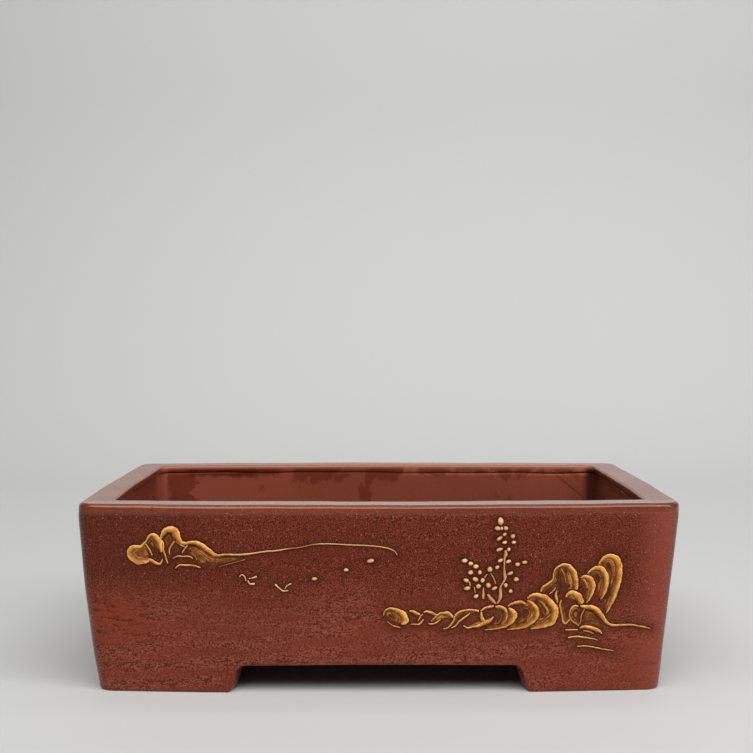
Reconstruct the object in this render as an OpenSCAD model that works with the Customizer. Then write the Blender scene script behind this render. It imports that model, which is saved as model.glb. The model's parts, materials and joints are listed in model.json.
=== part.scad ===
// Rectangular unglazed stoneware bonsai pot, slab built: four mitred walls round a let-in floor,
// a mitred rim, four bracket feet, and a landscape trailed in pale slip on the front wall.
// Millimetres. Origin on the ground under the middle, +X along the length, front towards -Y, +Z up.

/* [Pot] */
// Overall length
pot_l = 302; // [240:1:390]
// Overall depth, front to back
pot_w = 195; // [150:1:250]
// Overall height
pot_h = 95; // [70:1:130]
// Outward bow of each long side at its middle
bow_long = 5; // [0:0.5:10]
// Outward bow of each short side at its middle
bow_short = 1; // [0:0.5:5]
// Plan radius of the outer corners at the rim
corner_r = 10; // [4:0.5:20]
// How far each side leans in from rim to ground
wall_lean = 8.8; // [0:0.1:20]
// Share of that lean that comes late, giving the front and back a slight belly
front_belly = 0.3; // [0:0.05:1]
// The same share for the right end, which is nearly straight
right_belly = 0; // [0:0.05:1]
// The same share for the left end, which is the most rounded
left_belly = 0.6; // [0:0.05:1]

/* [Rim] */
// Width of the rim strip
rim_w = 16; // [10:0.5:24]
// Thickness of the rim strip
rim_t = 4; // [3:0.5:12]
// Rounding of the outer top edge
rim_edge_out = 2.1; // [0.5:0.1:3]
// Rounding of the inner top edge
rim_edge_in = 1.5; // [0.5:0.1:3]
// Wall thickness just under the rim, less than the rim so that the rim overhangs inside
wall_t_top = 15; // [8:0.5:15]

/* [Floor] */
// Thickness of the floor slab
floor_t = 9; // [5:0.5:14]
// Distance from the rim's outer edge in to the slab's edge
floor_in = 15.5; // [12:0.5:18]
// Distance from the rim's outer edge in to the wall's inner face at the floor
wall_in = 19; // [17:0.5:26]
// Plan radius of the inner corners
inner_r = 6; // [2:0.5:12]
// Diameter of the two drainage holes
drain_d = 22; // [12:0.5:32]
// Distance between the drainage holes
drain_gap = 130; // [80:1:180]
// Diameter of the four tie-wire holes
tie_d = 5; // [3:0.5:8]
// Tie-wire hole spacing along the length
tie_x = 60; // [30:1:100]
// Tie-wire hole spacing across the depth
tie_y = 44; // [30:1:110]

/* [Feet] */
// Height of the feet
foot_h = 14; // [8:0.5:20]
// Half the opening between the feet at the ground, long sides
foot_end_long = 74; // [40:1:110]
// Half the opening between the feet at the ground, short sides
foot_end_short = 46; // [25:1:70]
// Radius where a foot runs up into the apron
foot_fillet = 4; // [1:0.5:8]
// How much nearer the middle the inner edge of a foot's end stands
foot_bevel = 2; // [0:0.5:5]

/* [Slip drawing] */
// Height of the thinnest slip line above the wall
slip_min = 0.28; // [0.1:0.01:0.6]
// Greatest height of the slip above the wall
slip_max = 0.9; // [0.4:0.05:1.5]

/* [Hidden] */
clay = [0.36, 0.15, 0.11];
slip_gold = [0.72, 0.5, 0.22];
slip_pale = [0.8, 0.64, 0.4];
side_steps = 16;    // facets along a side
arc_steps = 4;      // facets in half a corner
foot_steps = 5;     // facets along a foot's leg
front = 0;          // sides count round from the front: front, right, back, left
right = 1;
back = 2;
left = 3;
half_x = pot_l / 2 - bow_short;
half_y = pot_w / 2 - bow_long;
rim_z = pot_h - rim_t;
floor_z = foot_h + floor_t;
belly = [front_belly, right_belly, front_belly, left_belly];

// Inset of the outer face of side k from the rim's outline, at height z
function lean(k, z) = let (t = 1 - z / pot_h) wall_lean * ((1 - belly[k]) * t + belly[k] * t * t);
// Insets of the four outer faces at height z, with an extra amount e
function outer(z, e = 0) = [for (k = [0:3]) lean(k, z) + e];
// The same inset d on all four sides
function even(d) = [d, d, d, d];
// Outer corner radius at height z
function outer_r(z) = corner_r - 1.5 * (1 - z / pot_h);

function half_len(k) = k % 2 == 0 ? half_x : half_y;
function half_out(k) = k % 2 == 0 ? half_y : half_x;
function bow(k) = k % 2 == 0 ? bow_long : bow_short;
// A point of side k, a along it and o outwards, in the pot's own X and Y
function world(k, a, o) = [[a, -o], [o, a], [-a, o], [-o, -a]][k];
// Where the straight part of side k ends, for insets d and corner radius r
function run_end(k, d, r) = half_len(k) - d[(k + 1) % 4] - r;
function run_start(k, d, r) = d[(k + 3) % 4] + r - half_len(k);
function run_half(k, d, r) = (run_end(k, d, r) - run_start(k, d, r)) / 2;
function run_mid(k, d, r) = (run_end(k, d, r) + run_start(k, d, r)) / 2;
// Turn of the face away from straight out, at the end of side k
function end_turn(k, d, r) = atan(2 * bow(k) / run_half(k, d, r));

// Point of the bowed outline on side k, s from -1 to 1 along the straight part, lifted by h
function side_pt(k, s, d, r, h = 0) = let (
        half = run_half(k, d, r),
        turn = atan(2 * bow(k) * s / half),
        a = run_start(k, d, r) + half * (s + 1),
        o = half_out(k) - d[k] - r + bow(k) * (1 - s * s))
    world(k, a + (r + h) * sin(turn), o + (r + h) * cos(turn));
// Point of the outline on the corner after side k, f from 0 to 1 round it
function corner_pt(k, f, d, r) = let (
        t0 = end_turn(k, d, r),
        turn = t0 + f * (90 - end_turn((k + 1) % 4, d, r) - t0))
    world(k, run_end(k, d, r) + r * sin(turn), half_out(k) - d[k] - r + r * cos(turn));
// A station is [on a corner?, side, s or f]; a profile point is [insets, z, radius]
function station_pt(st, p) = concat(
    st[0] ? corner_pt(st[1], st[2], p[0], p[2]) : side_pt(st[1], st[2], p[0], p[2]), p[1]);
// Stations along side k from mitre to mitre
function side_stations(k) = concat(
    [for (i = [0:arc_steps - 1]) [true, (k + 3) % 4, 0.5 + 0.5 * i / arc_steps]],
    [for (i = [0:side_steps]) [false, k, 2 * i / side_steps - 1]],
    [for (i = [1:arc_steps]) [true, k, 0.5 * i / arc_steps]]);
// Triangles of a closed profile of m points over n stations, with the given end triangles
function skin(n, m, cap) = concat(
    [for (i = [0:n - 2], j = [0:m - 1]) each let (a = i * m + j, b = i * m + (j + 1) % m)
        [[a, b, b + m], [a, b + m, a + m]]],
    [for (t = cap) [t[0], t[2], t[1]]],
    [for (t = cap) [for (v = t) v + (n - 1) * m]]);
// End triangles fanned from point c of an m-point profile
function fan(c, m) = [for (i = [1:m - 2]) [c, (c + i) % m, (c + i + 1) % m]];

// One strip of the pot swept along side k
module strip(k, profile, cap) {
    stations = side_stations(k);
    polyhedron(points = [for (st = stations, p = profile) station_pt(st, p)],
        faces = skin(len(stations), len(profile), cap));
}

// Wall slab of side k: leaning outer face, inner face, and a rebate that takes the floor's edge
module wall(k) {
    rows = 6;
    profile = concat(
        [for (i = [0:rows]) let (z = foot_h + (rim_z - foot_h) * i / rows) [outer(z), z, outer_r(z)]],
        [[even(wall_t_top), rim_z, inner_r], [even(wall_in), floor_z, inner_r],
         [even(floor_in), floor_z, inner_r], [even(floor_in), foot_h, inner_r]]);
    color(clay) strip(k, profile, fan(rows + 3, len(profile)));
}
module front_wall() wall(front);
module right_wall() wall(right);
module back_wall() wall(back);
module left_wall() wall(left);

// Floor slab, let into the walls from below, with drainage and tie-wire holes
module floor_slab() {
    edge = [for (k = [0:3]) each concat(
        [for (i = [0:side_steps - 1]) side_pt(k, 2 * i / side_steps - 1, even(floor_in), inner_r)],
        [for (i = [0:2 * arc_steps - 1]) corner_pt(k, i / (2 * arc_steps), even(floor_in), inner_r)])];
    color(clay) difference() {
        translate([0, 0, foot_h]) linear_extrude(height = floor_t) polygon(edge);
        for (x = [-1, 1]) translate([x * drain_gap / 2, 0, foot_h - 1])
            cylinder(d = drain_d, h = floor_t + 2, $fn = 64);
        for (x = [-1, 1], y = [-1, 1]) translate([x * tie_x / 2, y * tie_y / 2, foot_h - 1])
            cylinder(d = tie_d, h = floor_t + 2, $fn = 32);
    }
}

// Rim strip of side k, flush outside, overhanging the wall inside, with rounded edges
module rim(k) {
    round_steps = 4;
    profile = concat(
        [[outer(rim_z), rim_z, outer_r(rim_z)]],
        [for (i = [0:round_steps]) let (t = 90 * i / round_steps, z = pot_h - rim_edge_out * (1 - sin(t)))
            [outer(z, rim_edge_out * (1 - cos(t))), z, corner_r - rim_edge_out * (1 - cos(t))]],
        [for (i = [0:round_steps]) let (t = 90 - 90 * i / round_steps)
            [even(rim_w - rim_edge_in * (1 - cos(t))), pot_h - rim_edge_in * (1 - sin(t)), inner_r]],
        [[even(rim_w), rim_z + 1, inner_r], [even(rim_w - 1), rim_z, inner_r]]);
    color(clay) strip(k, profile, fan(0, len(profile)));
}
module rim_front() rim(front);
module rim_right() rim(right);
module rim_back() rim(back);
module rim_left() rim(left);

// Distance from the middle of a side to a foot's end at height z; inside is 0 on the outer face, 1 inside
function foot_end(base, z, inside) = let (rise = max(0, z - foot_h + foot_fillet))
    base - 0.3 * z - foot_bevel * inside - foot_fillet + sqrt(foot_fillet ^ 2 - rise ^ 2)
    + foot_round(z, 1);
// Rounding of the foot's lower edges, as an extra inset of at most r
function foot_round(z, r) = r * (1 - sqrt(1 - max(0, 1 - z / 1.5) ^ 2));

// Bracket foot on the corner after side k
module foot(k) {
    levels = [0, 0.3, 1.5, foot_h - foot_fillet, foot_h - 2.4, foot_h - 1.1, foot_h - 0.3, foot_h];
    n = len(levels);
    ends = [foot_end_long, foot_end_short];
    next = (k + 1) % 4;
    function leg_s(side, dir, z, inside, d, r, i) = let (
            e = (dir * foot_end(ends[side % 2], z, inside) - run_mid(side, d, r)) / run_half(side, d, r))
        e + (dir * 0.97 - e) * i / foot_steps;
    function foot_pt(i, z, inside) = let (
            d = inside == 1 ? even(wall_in - foot_round(z, 0.8)) : outer(z, foot_round(z, 1.2)),
            r = inside == 1 ? inner_r : outer_r(z),
            arc = 2 * arc_steps, last = foot_steps + arc + 2)
        concat(i <= foot_steps ? side_pt(k, leg_s(k, 1, z, inside, d, r, i), d, r)
            : i < last ? corner_pt(k, (i - foot_steps - 1) / arc, d, r)
            : side_pt(next, leg_s(next, -1, z, inside, d, r, last + foot_steps - i), d, r), z);
    count = 2 * foot_steps + 2 * arc_steps + 3;
    color(clay) polyhedron(
        points = [for (i = [0:count - 1]) each concat(
            [for (z = levels) foot_pt(i, z, 0)],
            [for (j = [n - 1:-1:0]) foot_pt(i, levels[j], 1)])],
        faces = skin(count, 2 * n, [for (j = [0:n - 2]) each
            [[j, j + 1, 2 * n - 2 - j], [j, 2 * n - 2 - j, 2 * n - 1 - j]]]));
}
module foot_front_right() foot(front);
module foot_back_right() foot(right);
module foot_back_left() foot(back);
module foot_front_left() foot(left);

// Point h above the front wall's face, at x along and z up
function face_pt(x, z, h) = let (
        d = outer(z), r = outer_r(z),
        half = run_half(front, d, r))
    concat(side_pt(front, (x - run_mid(front, d, r)) / (half + 2 * bow_long * r / half), d, r, h), z);
// Height of slip laid w wide
function slip_h(w) = min(slip_max, slip_min + 0.16 * w);
// A stroke's points with one smooth point between each pair, and a blunt tip at each end
function mid_pt(p, i) = let (a = p[max(i - 1, 0)], b = p[i], c = p[i + 1], d = p[min(i + 2, len(p) - 1)])
    (9 * (b + c) - a - d) / 16;
function tip(p, q) = let (v = [p[0] - q[0], p[1] - q[1]], u = v / norm(v) * p[2] * 0.3)
    [p[0] + u[0], p[1] + u[1], p[2] * 0.5];
function smooth(p) = let (n = len(p)) concat([tip(p[0], p[1])],
    [for (i = [0:n - 1]) each (i < n - 1 ? [p[i], mid_pt(p, i)] : [p[i]])], [tip(p[n - 1], p[n - 2])]);

// One trailed stroke through [x, z, width] points, its underside sunk a little into the wall
module stroke(path, sink) {
    p = smooth(path);
    n = len(p);
    polyhedron(points = [for (i = [0:n - 1]) each let (
            v = p[min(i + 1, n - 1)] - p[max(i - 1, 0)], l = norm([v[0], v[1]]),
            u = [-v[1], v[0]] / l * p[i][2], h = slip_h(p[i][2]))
            [for (q = [[-0.5, -sink], [-0.28, h], [0.28, h], [0.5, -sink]])
                face_pt(p[i][0] + u[0] * q[0], p[i][1] + u[1] * q[0], q[1])]],
        faces = skin(n, 4, fan(0, 4)));
}
module strokes(paths) for (i = [0:len(paths) - 1]) stroke(paths[i], 0.2 + 0.05 * i);

// Rounded dabs of slip given as [x, z, width, height, tilt]
module dabs(list) for (q = list) {
    n = 8;
    rings = [[1, -0.2], [0.85, 0.35], [0.5, 0.65]];
    polyhedron(points = concat(
            [for (r = rings, i = [0:n - 1]) let (a = 360 * i / n,
                u = r[0] * q[2] / 2 * cos(a), v = r[0] * q[3] / 2 * sin(a))
                face_pt(q[0] + u * cos(q[4]) - v * sin(q[4]), q[1] + u * sin(q[4]) + v * cos(q[4]), r[1])],
            [face_pt(q[0], q[1], -0.2), face_pt(q[0], q[1], 0.72)]),
        faces = concat(
            [for (r = [0:1], i = [0:n - 1]) each let (a = r * n + i, b = r * n + (i + 1) % n)
                [[a, b + n, b], [a, a + n, b + n]]],
            [for (i = [0:n - 1]) [i, (i + 1) % n, 3 * n]],
            [for (i = [0:n - 1]) [2 * n + (i + 1) % n, 2 * n + i, 3 * n + 1]]));
}

// Low mound at the far left of the distant shore: one fat stroke curling round the end
module left_mound() color(slip_gold) strokes([
    [[-114.5, 76.5, 1.2], [-115.5, 75.5, 1.6], [-117, 74, 1.7], [-119, 74, 2.2], [-121, 73.5, 2.7],
     [-122.5, 71.5, 3], [-122, 69.5, 3.2], [-120.5, 68, 3.5], [-118.5, 67, 3.7], [-116, 67, 3.2],
     [-114, 67.5, 2.5]]
]);

// Middle hill of the far shore: a broad cap, its inner edge and the foot line under it
module left_hill() color(slip_gold) strokes([
    [[-114.5, 76.5, 0.8], [-113.5, 78, 1.3], [-112.5, 79.5, 1.8], [-111, 80, 2.2], [-109.5, 79, 3],
     [-108, 77, 3.2], [-107.5, 74.5, 2.5], [-107, 72, 1.3]],
    [[-114.5, 75.5, 0.6], [-113.5, 74, 0.8], [-112.5, 72, 0.8], [-111.5, 70, 0.5]],
    [[-113, 67.5, 1.7], [-111.5, 67, 1.8], [-110, 66, 1.6], [-108, 65.5, 1.2], [-107, 66.5, 1],
     [-106.5, 68, 0.6]]
]);

// Tallest hill of the far shore: a broad cap and the thin folds that run down from it
module left_peak() color(slip_gold) strokes([
    [[-107, 78.5, 1.2], [-106, 80.5, 2.3], [-104.5, 82.5, 3], [-102.5, 83, 3.2], [-100.5, 82.5, 4],
     [-99.5, 80.5, 4.2], [-98.5, 78.5, 3.2], [-97, 76.5, 2.2], [-95, 76, 1.8]],
    [[-106.5, 77, 1.1], [-106, 75, 1.2], [-106, 72.5, 1], [-105, 69.5, 0.9], [-104.5, 67.5, 0.9],
     [-104, 66, 0.7]],
    [[-100.5, 77, 0.7], [-102, 75, 0.8], [-103, 73, 0.8], [-103, 70.5, 0.5]],
    [[-99.5, 77, 0.5], [-97.5, 75.5, 0.6], [-95.5, 74.5, 0.6]],
    [[-94, 75, 0.9], [-95, 74, 0.9], [-96, 72.5, 0.7], [-96.5, 71.5, 0.6]]
]);

// Sloping bank that runs out into the long, fine line of the far shore
module shore_line() color(slip_gold) strokes([
    [[-94.5, 76, 1.6], [-92.5, 76.5, 1.8], [-90, 76.5, 2.2], [-87.5, 75.5, 2.5], [-85.5, 74, 2.6],
     [-83, 72, 2.5], [-81, 70.5, 1.9], [-78.5, 70, 1.4], [-75.5, 70.5, 1.1], [-69, 70.5, 1],
     [-63, 71, 0.9], [-56.5, 72, 0.8], [-50.5, 72.5, 0.8], [-44, 73.5, 0.7], [-39, 74, 0.7],
     [-32.5, 75.5, 0.7], [-25.5, 76, 0.6], [-15, 75.5, 0.6], [-4, 75, 0.6], [3, 74, 0.6],
     [7, 72.5, 0.5], [8.5, 70.5, 0.4]]
]);

// Water lines under the far shore
module left_ripples() color(slip_gold) strokes([
    [[-101, 68.5, 0.6], [-99, 69.5, 0.7], [-96.5, 69.5, 0.7], [-93, 69.5, 0.8], [-91.5, 68.5, 0.6]],
    [[-100, 63.5, 0.6], [-98, 65, 1], [-95, 65, 1.1], [-91.5, 65, 0.9], [-88, 64, 0.7]],
    [[-78.5, 64.5, 0.5], [-73, 66, 0.6], [-66, 68, 0.4]]
]);

// Nearer of the two birds over the water
module near_bird() color(slip_pale) strokes([
    [[-68.5, 59.5, 0.6], [-67.5, 60.5, 0.7], [-66, 59.5, 0.7], [-65.5, 57.5, 0.5]],
    [[-64.5, 57.5, 0.7], [-63.5, 56, 1.1], [-61.5, 56, 1.1]],
    [[-64, 58.5, 0.6], [-62, 59, 0.8], [-60.5, 59.5, 1.2]]
]);

// Second bird over the water
module far_bird() color(slip_pale) strokes([
    [[-51, 55.5, 1.2], [-49.5, 54, 0.8], [-47.5, 52.5, 1], [-45, 52.5, 0.7]],
    [[-46.5, 53.5, 0.6], [-45.5, 55, 0.6], [-43.5, 56, 0.7]]
]);

// First rock of the near bank: a round head and the thin line of its shadow side
module rock_1() color(slip_gold) strokes([
    [[2, 40, 0.5], [2.5, 42, 0.7], [3.5, 43, 0.9], [5.5, 43.5, 1.2], [7.5, 43, 1.7], [9.5, 42, 2.5],
     [11, 41, 3.2], [12, 39.5, 3.7], [12.5, 37.5, 3.8], [11.5, 36.5, 3]],
    [[4, 37, 0.4], [5.5, 35.5, 0.5], [7.5, 34.5, 0.6], [10, 34, 0.5]]
]);

// Second rock
module rock_2() color(slip_gold) strokes([
    [[15, 42, 1], [16, 42, 1.5], [18, 41, 1.7], [19.5, 40.5, 1.2]],
    [[21, 40.5, 0.9], [20, 39.5, 1], [19, 37.5, 0.6]],
    [[15.5, 35.5, 0.5], [17.5, 35.5, 0.7], [19.5, 35.5, 0.9], [21, 37, 0.9], [21.5, 38, 0.6]]
]);

// Third rock
module rock_3() color(slip_gold) strokes([
    [[22, 41.5, 0.9], [23, 42, 1.1], [24.5, 41.5, 1.4], [26, 41, 1.4], [28, 40, 0.8]],
    [[24, 36, 0.4], [25.5, 35.5, 0.7], [27.5, 36, 0.8], [29, 37, 0.8], [30, 38, 0.5]]
]);

// Fourth rock
module rock_4() color(slip_gold) strokes([
    [[25.5, 37, 0.6], [27, 38.5, 0.9], [28.5, 40, 1], [30, 41, 1.1], [31.5, 41, 1.5], [33.5, 41, 1.9],
     [35, 40, 1.7], [36, 39, 1]]
]);

// Fifth rock, with the long trailing strokes on both sides
module rock_5() color(slip_gold) strokes([
    [[31.5, 33, 0.5], [33.5, 33.5, 0.7], [35, 35, 0.9], [36.5, 37, 1], [37, 39, 1.1], [38.5, 41, 1.2],
     [40.5, 42, 1.1], [43, 42.5, 1.1], [46, 42.5, 1.2], [48.5, 42, 1.2]],
    [[35.5, 33.5, 0.5], [37.5, 34.5, 0.9], [39, 36.5, 1], [41.5, 38.5, 1], [43.5, 40, 0.8],
     [44.5, 41, 0.5]],
    [[41.5, 34.5, 0.6], [43.5, 33.5, 0.8], [46, 34, 1], [49, 34.5, 1.5], [52, 36, 2.2],
     [54.5, 37, 1.7], [56, 39, 0.6]],
    [[50, 41, 1.3], [50, 39.5, 1.8], [50.5, 38, 2.2], [51, 37, 2.2]]
]);

// Sixth rock: two arcs at the root of the tree
module rock_6() color(slip_gold) strokes([
    [[50, 42, 0.8], [52, 43.5, 1.2], [54, 44, 1.3], [56, 44.5, 0.9]],
    [[57.5, 44, 1.4], [59.5, 44, 1.7], [61.5, 43, 1.7], [62.5, 41, 1.2], [62.5, 38.5, 1],
     [61.5, 36.5, 0.7], [60.5, 35, 0.5]]
]);

// Seventh rock: a thin cap over a thick crescent that trails left
module rock_7() color(slip_gold) strokes([
    [[63.5, 44.5, 0.7], [65, 45.5, 1.1], [67, 46, 1.5], [69.5, 46.5, 1.6], [71.5, 45.5, 1.1]],
    [[64, 43, 1.5], [65.5, 41.5, 3.3], [66, 40, 3.9], [65.5, 38, 3.5], [64, 36, 2.3], [62, 34.5, 1.6],
     [59, 33.5, 1.1], [56, 33, 0.9], [52, 32.5, 0.5]]
]);

// Eighth rock: one long crescent
module rock_8() color(slip_gold) strokes([
    [[73, 47, 0.9], [75, 45.5, 2], [77, 43, 2.6], [77.5, 41, 2.7], [77, 38.5, 2.5], [75, 36.5, 2.4],
     [72, 34.5, 2.3], [69, 33.5, 1.6], [65.5, 33, 1], [63, 32.5, 0.5]]
]);

// Ninth and largest rock: a broad band with a fine line inside
module rock_9() color(slip_gold) strokes([
    [[73, 48.5, 0.9], [74.5, 49.5, 1.5], [76.5, 50, 2.1], [79, 49.5, 2.5], [81.5, 48.5, 3],
     [83.5, 46.5, 3.3], [85.5, 44, 3.8], [86.5, 41.5, 4.2], [86, 39, 4.1], [85, 36.5, 3.8],
     [82, 35, 3.3], [78.5, 34, 2.3], [75, 33, 0.9]],
    [[84, 40, 0.5], [82.5, 38.5, 0.6], [81, 37, 0.5], [79.5, 36, 0.4]]
]);

// Middle peak: shoulder and outline in one stroke, with the fine folds inside
module centre_peak() color(slip_gold) strokes([
    [[79.5, 52, 1.1], [80, 53.5, 1.3], [82, 55, 1.3], [83.5, 56, 1.2], [85, 57.5, 1.1],
     [85.5, 59, 0.9], [85.5, 61, 0.8], [86.5, 63, 0.9], [88.5, 64.5, 1.1], [90.5, 65, 1.7],
     [92.5, 64.5, 2.4], [94, 63, 2.8], [95.5, 61, 3], [96, 59, 2.9], [96.5, 56, 2.7],
     [96.5, 53.5, 2.3]],
    [[89, 63, 0.5], [90, 61.5, 0.5], [91, 59, 0.5], [91.5, 56, 0.4]],
    [[83.5, 50.5, 0.4], [85, 51.5, 0.5], [86.5, 53.5, 0.5]],
    [[87, 52, 0.6], [86.5, 50, 1.4], [87, 48, 1.7], [87.5, 46, 0.8]]
]);

// Knob below the middle peak and the narrow cleft beside it
module knob() color(slip_gold) strokes([
    [[92, 49, 1.1], [93, 50.5, 1.8], [95, 51, 2.5], [96.5, 50, 3.5], [98, 48.5, 3.9], [99, 46.5, 3.5]],
    [[89.5, 47, 0.9], [89, 45, 1], [89.5, 42.5, 1.1], [90, 40, 1.1], [90.5, 38, 1.1], [91, 36, 1.2],
     [92, 35.5, 1.3], [93, 36.5, 1.1], [94, 37.5, 0.8]]
]);

// Round stone in front of the boulder
module round_stone() color(slip_gold) strokes([
    [[97.5, 44, 1.2], [96, 44, 1.3], [94.5, 42.5, 1.1], [94, 41, 0.8], [94, 39, 0.8], [95, 37, 0.9],
     [97, 35.5, 1], [98.5, 34.5, 1]],
    [[101, 42.5, 0.7], [100, 40.5, 0.6], [99.5, 39, 0.6], [99.5, 37, 0.6], [99, 35, 0.5]]
]);

// Boulder whose outline runs out into the line of the near bank, and the bank under it
module boulder() color(slip_gold) strokes([
    [[99.5, 44, 1.5], [101.5, 43.5, 2.1], [103.5, 43.5, 2.5], [106.5, 42.5, 2.7], [108.5, 40.5, 2.7],
     [110, 38.5, 2.5], [111.5, 36.5, 2.1], [113, 35, 1.6], [115.5, 34, 1.4], [119, 34, 1.2],
     [125, 34, 1], [130.5, 33, 0.8], [134.5, 32, 0.5]],
    [[99.5, 33, 1.1], [101.5, 33.5, 1.7], [104, 33, 2], [107, 32, 2], [109, 31, 1.5], [110, 30, 0.8]]
]);

// Water lines under the near bank
module right_ripples() color(slip_gold) strokes([
    [[92, 32, 0.6], [95, 32, 0.7], [98, 32, 0.6]],
    [[93.5, 28, 0.8], [97.5, 28.5, 1], [101.5, 28, 0.9], [104.5, 27.5, 0.7], [107, 27, 0.6],
     [108, 26.5, 0.5]],
    [[98, 23.5, 0.5], [103, 23.5, 0.7], [108, 22.5, 0.7], [112.5, 21.5, 0.6], [116, 21, 0.4]],
    [[101, 31.5, 0.5], [103.5, 31, 0.6], [106, 30, 0.5]]
]);

// Smallest of the three standing peaks
module peak_a() color(slip_gold) strokes([
    [[99, 58.5, 0.6], [100.5, 59, 1.5], [102.5, 58.5, 2.5], [104, 57, 3], [105, 54.5, 2.9],
     [104.5, 51.5, 2.3], [103.5, 48.5, 1.5], [102, 46, 0.6]],
    [[100.5, 57.5, 0.6], [101.5, 56, 0.6], [102.5, 53.5, 0.4]]
]);

// Middle one of the three standing peaks
module peak_b() color(slip_gold) strokes([
    [[102.5, 60.5, 0.6], [104, 62, 1.3], [106, 63, 2], [108.5, 63, 2.8], [110.5, 61, 3.1],
     [111.5, 58.5, 3], [111.5, 55.5, 2.8], [111, 52.5, 2.5], [110, 49.5, 1.8], [109, 47.5, 0.7]]
]);

// Tallest of the three standing peaks
module peak_c() color(slip_gold) strokes([
    [[108, 65, 0.7], [109, 66.5, 1.5], [111, 68.5, 2], [113.5, 69, 2.5], [116, 68, 3.4],
     [117.5, 65.5, 3.8], [118, 62.5, 3.8], [118, 59, 3.5], [117.5, 55.5, 3.2], [116.5, 52, 2.9],
     [115.5, 48.5, 2.5], [114, 45, 1.9], [113, 42.5, 1.3], [112, 40.5, 0.6]]
]);

// Trunk of the tree
module tree_trunk() color(slip_pale) strokes([
    [[61.5, 72, 1.3], [61.5, 70.5, 1.6], [61, 68.5, 0.9], [61, 65.5, 0.7], [61, 63, 0.9],
     [61.5, 60, 1.4], [61.5, 58, 1.1], [60.5, 56, 0.7], [59.5, 54, 0.9], [59.5, 51.5, 1.5],
     [59.5, 49.5, 1.7], [59, 47.5, 1.2], [58, 46, 0.7]]
]);

// Branches and twigs of the tree
module tree_branches() color(slip_pale) strokes([
    [[53.5, 50, 1.5], [54.5, 48.5, 1.7], [56, 47, 1.6], [57, 46, 1]],
    [[51, 53.5, 0.8], [51, 51.5, 1], [51, 49.5, 1.3], [51, 48.5, 1.1]],
    [[54.5, 61, 0.5], [56, 58.5, 0.6], [57, 56, 0.6]],
    [[52.5, 60.5, 0.6], [51.5, 59, 0.7]],
    [[46.5, 54, 0.5], [47, 51.5, 0.6]],
    [[44, 56.5, 0.9], [44.5, 55, 0.8]]
]);

// Three more birds, far off over the water, as single dabs
module distant_birds() color(slip_pale) dabs([
    [-32, 58.5, 3, 1.7, 10], [-16.5, 63, 2.5, 1.7, 10], [-4.5, 67.5, 3.9, 1.9, 15]
]);

// Leaves of the tree, one dab of slip each
module tree_leaves() color(slip_pale) dabs([
    [59, 87, 3.1, 4, 0], [57.5, 83.5, 3, 2.3, 0], [59.5, 83.5, 1.5, 1.7, 0], [61.5, 83.5, 2.3, 2.2, 0],
    [61, 80.5, 2.1, 1.7, 30], [58.5, 78.5, 3.3, 1.7, 30], [65, 79.5, 2.3, 2.3, 0],
    [65.5, 76.5, 2.3, 1.7, 0], [61, 76.5, 2.4, 1.7, 15], [58.5, 73, 3.7, 1.6, 20],
    [63, 73, 1.7, 2.1, 0], [59, 67.5, 3, 1.7, 30], [63, 67, 2.8, 1.9, 20], [67.5, 65.5, 2.7, 2, 0],
    [71, 66.5, 2.8, 1.7, 0], [41.5, 67.5, 3, 2.3, 0], [44.5, 66, 2.5, 2.2, 0],
    [47, 64.5, 2.8, 2.4, 15], [44.5, 61.5, 2.8, 2.3, 0], [49, 61.5, 2.1, 2.3, 0],
    [54, 63, 2.7, 2.7, 0], [57.5, 64, 2.3, 1.9, 30], [64, 61, 3.1, 1.7, 25], [67, 58, 2.8, 2.1, 0],
    [42.5, 57.5, 2.8, 2.1, -30], [47, 58, 3.1, 2.2, -15], [50.5, 57.5, 2.1, 2.6, 0],
    [43, 53.5, 3.5, 2, 15], [48.5, 54.5, 2.7, 2.3, 0], [53.5, 55, 2.7, 2.6, 0],
    [56.5, 53.5, 3.1, 1.7, 25], [62, 55, 2.1, 2.2, 0], [64.5, 52, 2.1, 2, 0],
    [47.5, 49.5, 2.6, 1.9, 35]
]);

front_wall();
right_wall();
back_wall();
left_wall();
floor_slab();
rim_front();
rim_right();
rim_back();
rim_left();
foot_front_right();
foot_back_right();
foot_back_left();
foot_front_left();
left_mound();
left_hill();
left_peak();
shore_line();
left_ripples();
near_bird();
far_bird();
distant_birds();
rock_1();
rock_2();
rock_3();
rock_4();
rock_5();
rock_6();
rock_7();
rock_8();
rock_9();
centre_peak();
knob();
round_stone();
boulder();
right_ripples();
peak_a();
peak_b();
peak_c();
tree_trunk();
tree_branches();
tree_leaves();
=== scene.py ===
"""Looks of a rectangular unglazed stoneware bonsai pot with a landscape trailed in slip on its front.

The pot's walls, rim and feet are one closed skin, a grid of columns and rows, that is cut into the
CAD part's pieces. The slip strokes are ribbons on the front wall. Everything but the studio is
worked out in millimetres in the pot's own frame; new_mesh() writes metres.
"""
import json
import math

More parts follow.
